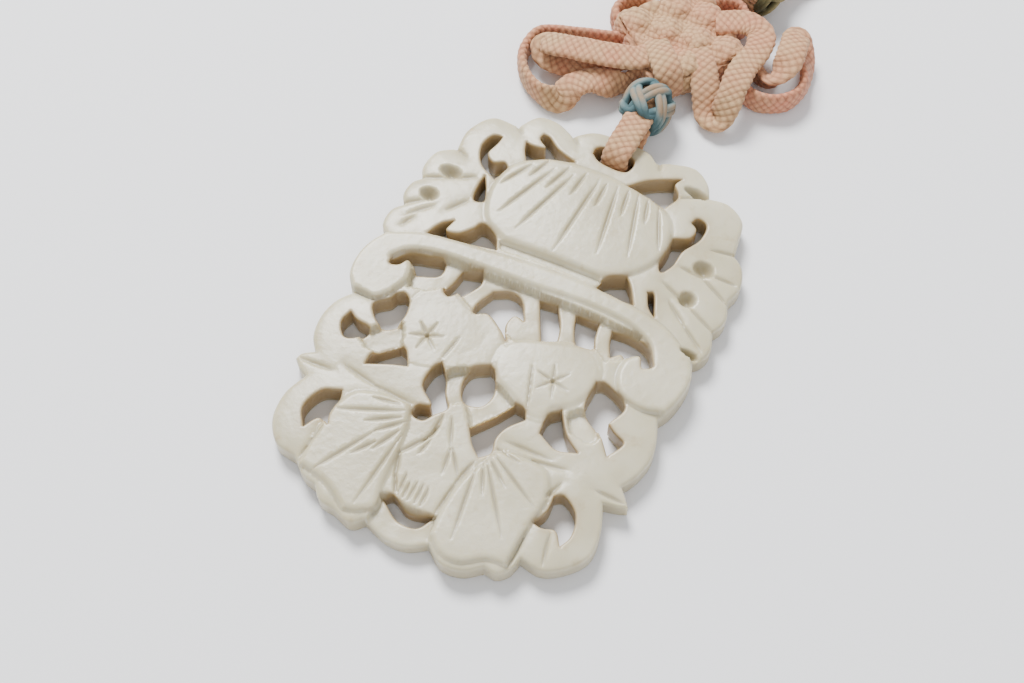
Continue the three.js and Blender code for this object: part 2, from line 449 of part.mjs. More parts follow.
const HANGER = [
  [5.7, 69.2, 5.45], [7, 72.4, 5.45], [8.5, 76.1, 5.45], [9.6, 79.4, 4.6], [10.8, 83.4, 2.4], [12.8, 88.4, 0.95],
  [16.4, 95.4, 0.85], [21.4, 102.6, 0.85], [27.6, 107, 0.85], [33, 105, 0.85], [33.8, 99, 0.85], [29.6, 93, 0.85],
  [23, 88.2, 0.85], [16.6, 83.6, 0.95], [11.6, 79.8, 2.4], [8.8, 76.7, 3.3], [7, 72.4, 3.35], [5.7, 69.2, 3.35],
];

// A bead knot: thin cord plaited round the braid, its strands running to and fro on a slant.
function beadKnot() {
  const bights = 5;
  const rings = 6;
  const inner = BEAD_BORE + 0.05;
  const profile = [new THREE.Vector2(inner, -BEAD_LENGTH / 2 + 0.6)];
  for (let i = 0; i <= rings; i += 1) {
    const lean = (i / rings - 0.5) * Math.PI;
    const swell = inner + 0.25 + (BEAD_RADIUS - inner - 0.5) * Math.cos(lean) ** 0.6;
    profile.push(new THREE.Vector2(swell, BEAD_LENGTH / 2 * Math.sin(lean)));
  }
  profile.push(new THREE.Vector2(inner, BEAD_LENGTH / 2 - 0.6), profile[0].clone());
  const bead = new THREE.LatheGeometry(profile, 24);
  const at = bead.attributes.position;
  for (let i = 0; i < at.count; i += 1) {
    const radius = Math.hypot(at.getX(i), at.getZ(i));
    const around = Math.atan2(at.getZ(i), at.getX(i));
    const depth = Math.min(1, Math.max(0, (radius - inner - 0.3) / 0.5));
    const slant = bights * around + Math.PI * Math.abs(at.getY(i)) / BEAD_LENGTH * 3;
    const grown = 1 + depth * THIN_CORD * 0.2 * Math.cos(slant) / radius;
    at.setX(i, at.getX(i) * grown);
    at.setZ(i, at.getZ(i) * grown);
  }
  return solid(bead);
}

// The woven knot: a square of straps each way, over and under, on the layers beneath.
function wovenKnot() {
  const straps = 4;
  const pitch = KNOT_SIDE / straps;
  const half = KNOT_SIDE / 2;
  const core = prism([[-half, -half], [half, -half], [half, half], [-half, half]]
    .map(([x, y]) => new THREE.Vector2(x, y)), 0, KNOT_CORE, 0.6);
  const parts = [core];
  for (let way = 0; way < 2; way += 1) {
    for (let i = 0; i < straps; i += 1) {
      const offset = (i - (straps - 1) / 2) * pitch;
      const wave = (along) => 0.45 * Math.cos((along / pitch + 0.5 + i + way) * Math.PI);
      const route = [[-half - 0.5, KNOT_CORE - 2.4], [-half, KNOT_CORE - 0.8]];
      for (let j = 0; j < straps; j += 1) {
        const along = (j - (straps - 1) / 2) * pitch;
        route.push([along, KNOT_CORE + wave(along)]);
      }
      route.push([half, KNOT_CORE - 0.8], [half + 0.5, KNOT_CORE - 2.4]);
      const strap = ribbon(route.map(([along, z]) => [along, offset, z]), 3.6, strapSection(pitch * 0.94, 1.2));
      parts.push(way === 0 ? strap : strap.rotate([0, 0, 90]));
    }
  }
  const woven = joined(parts).rotate([0, 0, KNOT_TURN]).translate([...KNOT_CENTRE, 0]);
  return joined([woven, ribbon(FRONT_STRAP, 2.6), ...SIDE_LOOPS.map((loop) => ribbon(loop, 3.4))]);
}

// ---------------------------------------------------------------- assembly
const JADE = new THREE.MeshStandardMaterial({ color: 0xb8b094, roughness: 0.35, metalness: 0 });
const SILK = new THREE.MeshStandardMaterial({ color: 0xb08458, roughness: 0.9, metalness: 0 });
const FADED_RED = new THREE.MeshStandardMaterial({ color: 0xb86a4c, roughness: 0.9, metalness: 0 });
const BLUE_CORD = new THREE.MeshStandardMaterial({ color: 0x6f8587, roughness: 0.9, metalness: 0 });
const OLIVE_CORD = new THREE.MeshStandardMaterial({ color: 0x6f6a48, roughness: 0.9, metalness: 0 });

const group = new THREE.Group();

function place(name, manifold, material) {
  const mesh = new THREE.Mesh(geometryOf(manifold), material);
  mesh.name = name;
  group.add(mesh);
  return mesh;
}

const jade = place('jade_plaque', plaque(), JADE);

const knot = wovenKnot();
const half = KNOT_SIDE / 2 + 1.15 + GAP;
const knotRoom = prism([[-half, -half], [half, -half], [half, half], [-half, half]]
  .map(([x, y]) => new THREE.Vector2(x, y)), -1, 9).rotate([0, 0, KNOT_TURN]).translate([...KNOT_CENTRE, 0]);
place('woven_knot', knot, SILK);
place('hanging_loop', ribbon(HANGING_LOOP, 2), SILK);

const blueBead = place('bead_knot_blue', beadKnot(), BLUE_CORD);
blueBead.position.set(0.4, 42.4, 4.4);
const oliveBead = place('bead_knot_olive', beadKnot(), OLIVE_CORD);
oliveBead.position.set(7, 72.4, 4.4);
oliveBead.rotation.z = THREE.MathUtils.degToRad(-22);

place('ear_loop_left_upper', ribbon(EAR_LEFT_UPPER).subtract(knotRoom), FADED_RED);
place('ear_loop_left_lower', ribbon(EAR_LEFT_LOWER).subtract(knotRoom), FADED_RED);
place('ear_loop_right_lower', ribbon(EAR_RIGHT_LOWER).subtract(knotRoom), SILK);
place('ear_loop_right_upper', ribbon(EAR_RIGHT_UPPER).subtract(knotRoom), FADED_RED);
place('hanger_loop', ribbon(HANGER, 4.4), SILK);

// the plaque's own box is centred on the origin, with its back on z = 0
const box = new THREE.Box3().setFromObject(jade);
group.position.set(-(box.min.x + box.max.x) / 2, -(box.min.y + box.max.y) / 2, 0);
group.updateMatrixWorld(true);

export default group;
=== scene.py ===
"""Dresses the jade carving: the pierced plaque as one fine carved mesh, the silk braid as
plaited ribbons, the bead knots as wound cord. Lengths in the tables are millimetres in the
plaque's drawing frame; everything made is in metres in the row's frame."""
import math
import bpy
import numpy as np
from mathutils import Matrix, Vector
from mathutils.geometry import delaunay_2d_cdt
from mathutils.kdtree import KDTree


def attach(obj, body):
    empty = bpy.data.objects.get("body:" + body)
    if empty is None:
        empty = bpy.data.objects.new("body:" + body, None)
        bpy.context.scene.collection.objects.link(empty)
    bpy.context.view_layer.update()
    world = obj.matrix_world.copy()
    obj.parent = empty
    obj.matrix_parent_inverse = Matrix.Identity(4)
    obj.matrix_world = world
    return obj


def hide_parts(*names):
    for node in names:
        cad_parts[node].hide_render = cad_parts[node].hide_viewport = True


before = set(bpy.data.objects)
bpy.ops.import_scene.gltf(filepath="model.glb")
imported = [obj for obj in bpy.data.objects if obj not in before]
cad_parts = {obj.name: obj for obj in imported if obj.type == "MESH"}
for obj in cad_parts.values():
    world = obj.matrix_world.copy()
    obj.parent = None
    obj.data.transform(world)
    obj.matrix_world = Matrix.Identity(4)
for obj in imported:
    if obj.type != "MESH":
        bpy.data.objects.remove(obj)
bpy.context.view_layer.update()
MM = 0.001

# ---------------------------------------------------------------- sizes shared with part.mjs
RIM_BASE = 2.9
LENS_RISE = 1.7
LENS_HALF = (38, 54)
BAND_TOP = 5.0
LOW_FACE = 3.1
STRIP_FACE = 3.7
FAN_RISE = 0.35
BRAID_WIDTH = 4.4
BRAID_THICKNESS = 1.5
BEAD_LENGTH = 7.4
KNOT_SIDE = 14.6
KNOT_TURN = 49
KNOT_CENTRE = (-0.4, 57)
PLAN_SHIFT = (0.335, 1.167)

# ---------------------------------------------------------------- curves
def spline(points, spacing):
    """Centripetal spline through the points, resampled evenly; extra columns follow along."""
    pts = np.array(points, float)
    ext = np.vstack([2 * pts[0] - pts[1], pts, 2 * pts[-1] - pts[-2]])
    fine = []
    for i in range(len(pts) - 1):
        p0, p1, p2, p3 = ext[i:i + 4]
        pairs = ((p0, p1), (p1, p2), (p2, p3))
        d0, d1, d2 = (max(np.linalg.norm((b - a)[:3]), 1e-6) ** 0.5 for a, b in pairs)
        m1 = ((p1 - p0) / d0 - (p2 - p0) / (d0 + d1) + (p2 - p1) / d1) * d1
        m2 = ((p2 - p1) / d1 - (p3 - p1) / (d1 + d2) + (p3 - p2) / d2) * d1
        t = np.linspace(0, 1, 24, endpoint=False)[:, None]
        fine.append((2 * t**3 - 3 * t**2 + 1) * p1 + (t**3 - 2 * t**2 + t) * m1
                    + (3 * t**2 - 2 * t**3) * p2 + (t**3 - t**2) * m2)
    fine = np.vstack(fine + [pts[-1:]])
    run = np.concatenate([[0], np.cumsum(np.linalg.norm(np.diff(fine[:, :3], axis=0), axis=1))])
    steps = max(1, round(run[-1] / spacing))
    at = np.linspace(0, run[-1], steps + 1)
    return np.stack([np.interp(at, run, fine[:, k]) for k in range(fine.shape[1])], 1)


def outline(runs, spacing):
    """A closed outline of smooth runs that meet at corners."""
    points = []
    for i, run in enumerate(runs):
        points.append(spline([runs[i - 1][-1]] + list(run), spacing)[1:])
    return np.vstack(points)


# ---------------------------------------------------------------- the plaque's drawing
BORDER = [
    [(-5, 34.8), (-1, 35.4), (4.2, 35.1), (5.9, 34)],
    [(8, 34.9), (11.7, 35.7), (14.5, 34), (15.7, 31.8)],
    [(18.8, 32), (21.7, 30.3), (22.6, 26.5), (23, 24.2)],
    [(24.9, 22.6), (25.9, 19.2), (25.2, 16.5)],
    [(26.1, 13.8), (25.9, 12.2), (25.2, 10.9)],
    [(26.1, 8), (25.6, 6.1), (24.5, 4.9)],
    [(25.4, 2.9), (25.6, 0.2), (24.9, -3.5), (23.9, -5.4)],
    [(25.1, -8.6), (25.5, -11.4), (24.8, -14.5), (23.6, -16.8)],
    [(25.1, -18.4), (25.6, -19.1)],
    [(24.3, -19.6), (22.4, -20.1)],
    [(23.8, -24), (24, -27.7), (22, -30.6), (19, -32.5), (15.8, -32.2)],
    [(15.2, -34.3), (13.8, -35.6), (12, -35.5)],
    [(9.6, -37.3), (6.6, -37.7), (3.7, -35.9)],
    [(1.1, -37.5), (-1.8, -37.8), (-5.6, -36.7)],
    [(-7.2, -38.1), (-10.1, -37.4), (-12.6, -37), (-14.2, -35.4)],
    [(-16.3, -34.9), (-18.8, -33)],
    [(-22.2, -32.3), (-24.7, -29.2), (-25.1, -25.2), (-23.8, -21.6)],
    [(-25, -21), (-26.5, -19.7)],
    [(-26.2, -18.8), (-24.5, -17.6)],
    [(-26.1, -15.4), (-26.7, -12), (-26, -9), (-24.5, -6.8)],
    [(-26.2, -4.4), (-26.6, -1), (-25.9, 2), (-24.8, 3.9)],
    [(-26.4, 5.7), (-26.4, 8.5), (-25.2, 10.1)],
    [(-26.2, 11.8), (-26, 14.2), (-25, 15.5)],
    [(-25.9, 17.5), (-25.3, 20.8), (-22.8, 22.8)],
    [(-22.9, 26.5), (-20.5, 30.4), (-16.2, 30.7)],
    [(-14, 33.7), (-11, 34), (-7.7, 32.8)],
]
HOLES = {
    "cord_hole": [[(-3.4, 31.9), (-2.6, 32.6), (2.5, 32.6), (3, 31.4), (2.4, 30), (-2, 30), (-3.4, 30.9)]],
    "shell_left": [[(-10.8, 30.7), (-8.5, 29.2), (-5.2, 28.2)], [(-8.2, 27), (-11.9, 25)],
      [(-13, 26.7), (-13.6, 28.3)], [(-12.4, 28.1), (-10.4, 28.6), (-11.9, 29.8), (-11.8, 30.8)]],
    "leaf_curl_left": [[(-18.6, 27.2), (-19.4, 24.8), (-18, 21.7), (-14.9, 19.9)],
      [(-14, 22.6), (-14.8, 23.3), (-16.4, 22.6), (-17.9, 23.7), (-17.4, 26.2), (-17.3, 27.5)]],
    "shell_slot": [[(-15.1, 17.6), (-14.5, 15.5), (-15.9, 15.2), (-16.5, 18.1), (-16.4, 19.8)]],
    "leaf_check": [[(-18.3, 9.3), (-19.4, 6.9)], [(-14, 7.7), (-8.8, 8.8)],
      [(-10, 10.9), (-12.7, 12), (-13.5, 10.6), (-15.2, 8.8), (-17.1, 8.5), (-16.8, 10.6)]],
    "band_curl_left": [[(-20, 2.6), (-17.4, 3.5), (-14.9, 4), (-14.6, 1.8), (-17.6, 0.3)],
      [(-19.4, 1.2), (-20.4, -0.2), (-21.7, -0.5), (-21.9, 0.4)]],
    "under_band_2": [[(-8.9, 4.8)], [(-8.5, 3.1), (-10.5, -0.3), (-11.5, -1.4), (-12.6, -0.7),
      (-12.1, 1.8), (-11.8, 3.9)]],
    "under_band_3": [[(-4, 4), (-2.1, 3.6), (-0.1, 0.6)], [(-1.7, 0.8), (-2.2, -1.1), (-0.6, -4.2)],
      [(-2.1, -2.9), (-5, -1.4), (-6.8, -2.2), (-7.5, -0.6), (-6.3, 2.9)]],
    "under_band_4": [[(3.2, 5)], [(5, 2), (5.5, -0.9), (3.8, -1.6)], [(2, 1.7), (0.5, 4.6)]],
    "under_band_5": [[(9.9, 5)], [(10.3, 2.6), (11, 0.3), (8.6, -0.3)], [(7, 2.8), (6.3, 4.9)]],
    "band_curl_right": [[(15, 5), (18, 4.1), (20, 1.4)], [(18.7, 0.4), (17.6, 2), (15.9, 1.4),
      (14.8, 2), (13.6, 0.9)],
      [(12.6, 2.9), (12.1, 4.8)]],
    "leaf_foot_right": [[(7.7, 11.6), (10.4, 13.3)], [(11.6, 12), (13.2, 9.4)], [(10, 9.3), (7.1, 9.6)]],
    "leaf_finger": [[(14.9, 12.6), (16.7, 9)], [(15.4, 10), (14.2, 12.3)]],
    "shell_right": [[(6.4, 30.3), (10.6, 32.7)], [(10.1, 31.3), (11.4, 29.6), (10.4, 26.7)], [(7, 27.4),
      (3.8, 27.8)]],
    "leaf_curl_right": [[(15.6, 27.3), (17.2, 26.9), (17.4, 24.1), (15.9, 21), (15.5, 18), (14.5, 16.3),
      (13.7, 17.4), (13.9, 20.4), (13.8, 22.4)], [(16.1, 23.8), (16.2, 25.5), (15.1, 26.2)]],
    "scroll_left_upper": [[(-17.5, -3.7), (-16.2, -4.5), (-15.7, -8), (-18, -9.9), (-20.7, -7.2),
      (-18.9, -5.3), (-18.5, -4.3)]],
    "scroll_left_lower": [[(-21.5, -10.6), (-19.2, -11), (-20.1, -13.1), (-21.8, -13.8), (-23.4, -11.8),
      (-23, -9.8)]],
    "fruit_left_foot": [[(-12.8, -11.8), (-11.3, -14)], [(-13.8, -14.9), (-17, -16.3)], [(-16.8, -14.4),
      (-14, -11.4)]],
    "centre_left": [[(-5.9, -12.7), (-4.7, -15.1), (-3.1, -17.3), (-4.3, -19), (-5.4, -20.5), (-7.1, -20.3),
      (-7.2, -18.8), (-5.4, -17.9), (-7.9, -15.7), (-7.9, -12.4), (-7.2, -11.3)]],
    "centre_top": [[(-3, -10.2), (-3.3, -12.4), (-1.8, -14.9), (0.6, -14.4), (1.4, -12.2), (0.1, -9.1),
      (-0.8, -8.6)]],
    "centre_right": [[(6.6, -12.6), (7.4, -14)], [(5.5, -16.5), (5, -18.5), (5.4, -20.6), (4.2, -22)],
      [(2.6, -20.7), (0.9, -18.4)], [(3.4, -15), (5, -12.3)]],
    "fruit_right_foot": [[(10, -11.8), (10.1, -14.9)], [(13.2, -16.1), (16.1, -15.2)], [(13.6, -13.5),
      (11.3, -10.4)]],
    "scroll_right": [[(14.8, -3.8), (19, -5.9), (18, -9.3)], [(19.5, -10.2), (21.1, -11), (19.9, -13.8)],
      [(17.6, -11.2), (14.1, -8.7), (13.8, -4.3)]],
    "corner_left": [[(-17.4, -22.6), (-17.5, -25.3), (-16.9, -27)], [(-18.6, -26.5), (-20, -28.6)],
      [(-21.5, -26), (-20.4, -22.7), (-17.8, -21.4)]],
    "corner_right": [[(17, -21.7), (19.7, -23.4), (20.5, -26.6), (19.8, -28.4)], [(18.3, -26.7),
      (16.4, -27.2), (15.1, -27)],
      [(16.1, -24.6), (16, -22.3)]],
    "comb_slot": [[(-3.9, -32), (-1, -33.1), (2.6, -32.2)], [(1.2, -34.5), (-1.5, -34.8), (-4.8, -32.9)]],
}
SHELL = [
    [(-8.5, 27), (0, 28), (8, 27.2)],
    [(12, 25.2), (13.9, 20.5), (12.9, 16.4), (9, 12), (7, 11.3)],
    [(0, 11.1), (-8.7, 10.5)],
    [(-12.6, 12.6), (-14.5, 17.5), (-13.8, 22.8), (-12, 25.1)],
]
BAND = [
    [(-19.6, 6.4), (-10, 8), (0, 9.1), (10.5, 9.2), (18.8, 8), (24.4, 4.8)],
    [(25.7, 2), (25.6, -1.2), (24.6, -4.4)],
    [(21, -5.4), (17.4, -4.5), (15.9, -2), (16, 0.7), (17.8, 2.2), (19.6, 0.9), (18.3, 4), (14.7, 5.8),
      (8.4, 6.3), (-2, 5.4), (-10, 4.8), (-15.8, 4.2), (-20.2, 2.8), (-22, 0.6), (-19.2, 1.2),
      (-18, -1.5), (-19.1, -4.7)],
    [(-20.9, -6.5), (-24.8, -6.4)],
    [(-26.7, -4), (-26.8, 0), (-25, 4)],
]
FRUIT_LEFT = [
    [(-16, -6), (-15.1, -2.4), (-12.2, -0.5), (-7, -2.2), (-4.7, -1.7), (-1.2, -4.1), (0.4, -6)],
    [(-0.8, -8.5), (-4.8, -11), (-9, -13), (-11.3, -13.5)],
    [(-13.8, -10.8), (-15.4, -8.1)],
]
FRUIT_RIGHT = [
    [(0, -3.8), (4.9, -1.5), (10.9, 0), (13.4, -1.8), (14.1, -5.2), (12.6, -9.1), (10.2, -11)],
    [(9.8, -13.2), (7.4, -13.7), (4.6, -12.1), (0.9, -10.6)],
    [(-0.6, -8.5), (-0.9, -6)],
]
FAN_LEFT = [
    [(-7.9, -19.4), (-10.5, -19.3), (-15.6, -20.6), (-17.4, -23.6), (-17.9, -30), (-17.7, -33.8)],
    [(-15, -34.2), (-12.4, -34.9), (-8.9, -37)],
    [(-7, -36.4), (-5, -34.8), (-5.5, -31.5), (-6, -26.2), (-6.6, -22.5)],
]
FAN_RIGHT = [
    [(6.2, -20), (9, -19.3), (13.7, -19.8), (15.4, -23), (15, -28), (14.6, -34.2)],
    [(12, -34.6), (8.7, -36.7), (6, -36.7), (3.4, -34.9)],
    [(3.2, -29.8), (3.8, -25.5), (5.2, -22.4)],
]
STRIP = [[(-3, 11), (7, 11.2), (7.3, 9.7)], [(0, 9.8), (-8.6, 9.1)], [(-9, 10.4)]]
LOW_AREAS = [
    [[(-7, 4.6), (6, 5.4), (16.4, 5.3)], [(16.2, 1.6), (13.4, -0.6)], [(11, 0.6), (7.4, -0.1),
      (0.4, -3.4), (-4.7, -1),
      (-7, -1.6), (-12, 0.2), (-14.6, -1.6), (-17.6, -2.4)], [(-18.2, 0.2), (-14.8, 4.2)]],
    [[(-19.9, -12.5), (-18.3, -10.2), (-15.4, -8.3), (-13.7, -11.3)], [(-16.7, -13.9), (-18.3, -13.9)]],
    [[(12.4, -10.6), (13.8, -9.1), (16.7, -10.4), (17.8, -11.6)], [(16.9, -13.1), (13.8, -12.9)]],
    [[(-5.7, -12), (-3.2, -10.5), (1.5, -10.9), (4.9, -12.4)], [(4, -14), (0.9, -18.3)], [(-1.5, -15.6),
      (-4, -17.4)],
      [(-5.8, -14.2)]],
    [[(-4.9, -32.4), (-1, -32.7), (3, -32.2)], [(3.9, -36.4), (4, -40)], [(-5.6, -40)], [(-5.2, -36)]],
]
SHELL_RIBS = [
    (-10.6, 24.6, -13.5, 19.2), (-8.5, 26.5, -10.2, 22.1), (-7.1, 25.4, -11.5, 14.4),
      (-5.2, 26.7, -7, 21.2),
    (-4, 25.6, -7.8, 12.9), (-2.5, 26.7, -3.1, 21.7), (-0.2, 26.6, -1.1, 11.9), (1, 26.3, 1.1, 21.5),
    (2.7, 26.7, 4.9, 14.2), (4.4, 26.9, 5.3, 21.7), (6, 27, 9.2, 15.8), (7.7, 26.7, 9, 22.1),
      (9.5, 26.5, 12.9, 18.8),
]
FAN_LINES = [
    (-8.9, -19.8, -13.4, -20.7), (-7.9, -20.5, -17.4, -24.6), (-7.9, -21.5, -12.6, -24.4),
      (-7, -21.7, -10.6, -25.2),
    (-10.2, -24.7, -15.6, -34.2), (-7.3, -23.3, -9.5, -27.8), (-9.4, -26.2, -11.8, -29.5),
      (-6.7, -23.5, -7.8, -35.8),
    (5.6, -19.6, 9.9, -20.4), (5.7, -20.6, 14.6, -25.4), (5.4, -21.3, 9.7, -24.6),
      (5.3, -21.8, 12.5, -31.2),
    (5.1, -22.3, 7.3, -26.9), (4.6, -23, 6.5, -34.5),
]
CENTRE_LINES = [
    (-2.7, -20, -3.9, -23.8), (-2.9, -22.5, -3.5, -25.4), (-1.9, -18.3, 0.1, -22.5),
      (0.1, -22.3, 0.9, -26.5),
    (0.2, -22.2, 3, -25.8), (-3.5, -28.3, -3.1, -32.1), (-2.5, -29.2, -2.3, -32.1),
      (-1.6, -28.8, -1.5, -32.1),
    (-0.7, -28.8, -0.5, -32.1), (0.2, -28.9, 0.4, -32.1),
]
CENTRE_EDGES = [
    (-3.1, -18.3, -3.1, -22.6), (-3.1, -22, -6.2, -26.6), (-6, -25.8, -4.6, -30.2), (-4.9, -29, -3.4, -32),
    (4, -22.6, 3, -27), (3.2, -26, 2.6, -32.4),
]
CREASES = [
    (-8.4, 33.6, -6.2, 31.2), (-16.8, 31.4, -14.8, 29.2), (-23.6, 23, -20.6, 21.8),
      (-25.8, 15.3, -19.8, 17.7),
    (-20.2, 17.5, -17.4, 19.2), (-26, 9.8, -22.2, 12.3), (-16.5, 14.9, -19, 11.6), (-20.6, 11.9, -24, 8.6),
    (-22.5, 9, -23.8, 6.3), (6.2, 34.8, 7, 32.4), (16.3, 32.4, 11.6, 29.4), (23.9, 24.4, 19.4, 23.2),
    (25.9, 15.6, 20, 18.3), (20.6, 18.2, 16.4, 18.5), (21, 19.2, 25.4, 19.4), (26, 10.4, 20.4, 12.8),
    (21, 12.6, 15.2, 15), (17.4, 12.4, 21.3, 9.5), (20.7, 9.9, 25, 7), (-24.4, -6.4, -20.8, -6.6),
    (-19.6, -17.7, -13.3, -18.8), (-14.5, -18.6, -7.9, -18.9), (6.2, -18.1, 13.4, -17.8),
      (10.3, -19.1, 15.9, -18.2),
    (-26, -19.5, -20.5, -19.2), (20.5, -19, 25.1, -18.9), (17.8, -27.3, 18.9, -32),
      (-17.3, -27.2, -18.2, -33),
    (15, -23.5, 16, -20), (14.9, -28, 14.9, -34.4),
]
HOLLOWS = [
    (-21.4, 18.2, 3.2, 1.9), (-22.5, 13.2, 2.6, 2), (19.9, 19.6, 2.8, 2.3), (19.8, 13.9, 2.3, 2.2),
      (23.6, 5.8, 2.7, 1.2),
    (13.6, 31.5, 3.6, 1.3), (-6.3, -19.6, 1.6, 1.6),
]
SHELL_DOME = ((-0.3, 19.3), (21, 14), 3.4, 1.95)
FRUIT_LEFT_DOME = ((-8.2, -6.6), (13.5, 10.5), 2.9, 1.75)
FRUIT_RIGHT_DOME = ((6.6, -6.4), (13.5, 10.5), 3.2, 1.75)
STAR_LEFT = ((-11.1, -8.5), 20, 2.7)
STAR_RIGHT = ((8.3, -7.1), 50, 2.8)
FRUIT_VEINS = [(-6.7, -6.4, -7.6, -11.5), (4.4, -5.5, 7.2, -13.4)]
# width and depth of each kind of engraved stroke
RIB_CUT = (0.75, 0.5)
STAR_CUT = (0.6, 0.4)
FAN_CUT = (0.62, 0.42)
CENTRE_CUT = (0.6, 0.4)
EDGE_CUT = (0.9, 0.4)
CREASE_CUT = (0.9, 0.4)
HOLLOW_DEPTH = 1.7

# ---------------------------------------------------------------- carving the plaque
BOUNDARY_STEP = 0.28
GRID_STEP = 0.27
EDGE_RADIUS = 0.5
HOLE_RADIUS = 0.3
BACK_RADIUS = 0.4
BACK_GRID_STEP = 0.9
WALL_LEVELS = (0.22, 0.5, 0.78)
WALL_WOBBLE = 0.025


def height_of_dome(points, centre, half, rim, rise):
    """Height of a low dome over an ellipse: rim at its edge, rim + rise in its middle."""
    inside = 1 - ((points[:, 0] - centre[0]) / half[0]) ** 2 - ((points[:, 1] - centre[1]) / half[1]) ** 2
    return rim + rise * np.sqrt(np.clip(inside, 0, None))


def is_inside(points, loop):
    """Even-odd test of every point against one closed outline."""
    inside = np.zeros(len(points), bool)
    x, y = points[:, 0], points[:, 1]
    near = (x > loop[:, 0].min()) & (x < loop[:, 0].max()) & (y > loop[:, 1].min()) & (y < loop[:, 1].max())
    x, y = x[near], y[near]
    odd = np.zeros(len(x), bool)
    for (x1, y1), (x2, y2) in zip(loop, np.roll(loop, -1, axis=0)):
        if y1 == y2:
            continue
        crosses = (y1 > y) != (y2 > y)
        odd[crosses] ^= x[crosses] < (x2 - x1) * (y[crosses] - y1) / (y2 - y1) + x1
    inside[near] = odd
    return inside


def distance_to(points, samples, reach):
    """Distance to the nearest sample, capped at reach."""
    tree = KDTree(len(samples))
    for i, (x, y) in enumerate(samples):
        tree.insert((x, y, 0), i)
    tree.balance()
    low, high = samples.min(axis=0) - reach, samples.max(axis=0) + reach
    near = np.all((points > low) & (points < high), axis=1)
    out = np.full(len(points), float(reach))
    out[near] = [min(reach, tree.find((x, y, 0))[2]) for x, y in points[near]]
    return out


def rounding(distance, radius):
    """How far a rounded edge lies under the face at this distance from the edge."""
    d = np.clip(radius - distance, 0, radius)
    return radius - np.sqrt(radius**2 - d**2)


def stroke_samples(lines, step=0.3, across=(0.0, 0.2, 0.42)):
    """Mesh points along engraved strokes: on the line and to both sides of it."""
    out = []
    for x1, y1, x2, y2 in lines:
        a, b = np.array((x1, y1)), np.array((x2, y2))
        length = np.linalg.norm(b - a)
        side = np.array((-(b - a)[1], (b - a)[0])) / length
        along = np.linspace(0, 1, max(2, int(length / step)))[:, None]
        for offset in across:
            for sign in ((1, -1) if offset else (1,)):
                out.append(a + (b - a) * along + side * offset * sign)
    return np.vstack(out)


def cut_strokes(points, height, mark, lines, width, depth):
    """Lowers the face along each stroke: widest and deepest in its middle, sharp at the ends."""
    for x1, y1, x2, y2 in lines:
        a, b = np.array((x1, y1)), np.array((x2, y2))
        length = np.linalg.norm(b - a)
        along = (points - a) @ (b - a) / length**2
        side = np.abs((points - a) @ np.array((-(b - a)[1], (b - a)[0]))) / length
        swell = np.clip(1 - (2 * along - 1) ** 2, 0, 1) ** 0.6
        cut = np.clip(1 - side / (width / 2 * swell + 1e-6), 0, 1) * swell
        height -= depth * cut
        mark[:] = np.maximum(mark, np.clip(cut * 1.6, 0, 1))


def noise2(points, size, seed):
    """Smooth value noise on a plane, from -1 to 1."""
    rng = np.random.default_rng(seed)
    table = rng.uniform(-1, 1, (64, 64))
    p = points / size + 32
    i = np.floor(p).astype(int)
    f = p - i
    f = f * f * (3 - 2 * f)
    x0, y0, x1, y1 = i[:, 0] % 64, i[:, 1] % 64, (i[:, 0] + 1) % 64, (i[:, 1] + 1) % 64
    top = table[x0, y0] * (1 - f[:, 0]) + table[x1, y0] * f[:, 0]
    low = table[x0, y1] * (1 - f[:, 0]) + table[x1, y1] * f[:, 0]
    return top * (1 - f[:, 1]) + low * f[:, 1]


def star(centre, turn, reach):
    """Three strokes that cross in one point, as the calyx of a fruit."""
    lines = []
    for arm in range(3):
        angle = math.radians(turn + 60 * arm)
        dx, dy = reach * math.cos(angle), reach * math.sin(angle)
        lines.append((centre[0] - dx, centre[1] - dy, centre[0] + dx, centre[1] + dy))
    return lines


def hex_grid(low, high, step):
    """Points of a triangular grid over a rectangle."""
    rows = []
    for j, y in enumerate(np.arange(low[1], high[1], step * 0.866)):
        x = np.arange(low[0] + (j % 2) * step / 2, high[0], step)
        rows.append(np.stack([x, np.full(len(x), y)], 1))
    return np.vstack(rows)


def inward_rings(loop, distances, sign):
    """Rings beside a closed outline; sign +1 lies to the left of its direction of travel."""
    ahead = np.roll(loop, -1, axis=0) - np.roll(loop, 1, axis=0)
    ahead /= np.linalg.norm(ahead, axis=1)[:, None] + 1e-9
    side = np.stack([-ahead[:, 1], ahead[:, 0]], 1) * sign
    return [loop + side * d for d in distances]


def signed_area(loop):
    """Area of an outline, positive where it runs anticlockwise."""
    x, y = loop[:, 0], loop[:, 1]
    return 0.5 * np.sum(x * np.roll(y, -1) - y * np.roll(x, -1))


def keep_clear(points, fixed, gap):
    """The points that are further than gap from every fixed point."""
    tree = KDTree(len(fixed))
    for i, (x, y) in enumerate(fixed):
        tree.insert((x, y, 0), i)
    tree.balance()
    return points[[tree.find((x, y, 0))[2] > gap for x, y in points]]


def triangulate(loops, points):
    """Constrained triangulation of the plaque's plan, holes and outside removed."""
    vertices, edges = [], []
    for loop in loops:
        start = len(vertices)
        vertices.extend(loop)
        edges.extend((start + i, start + (i + 1) % len(loop)) for i in range(len(loop)))
    vertices.extend(points)
    result = delaunay_2d_cdt([Vector(p) for p in vertices], edges, [], 0, 1e-5, False)
    plan = np.array([tuple(v) for v in result[0]])
    faces = np.array(result[2])
    middle = plan[faces].mean(axis=1)
    solid = is_inside(middle, loops[0])
    for hole in loops[1:]:
        solid &= ~is_inside(middle, hole)
    faces = faces[solid]
    used = np.unique(faces)
    renumber = np.zeros(len(plan), int)
    renumber[used] = np.arange(len(used))
    return plan[used], renumber[faces]


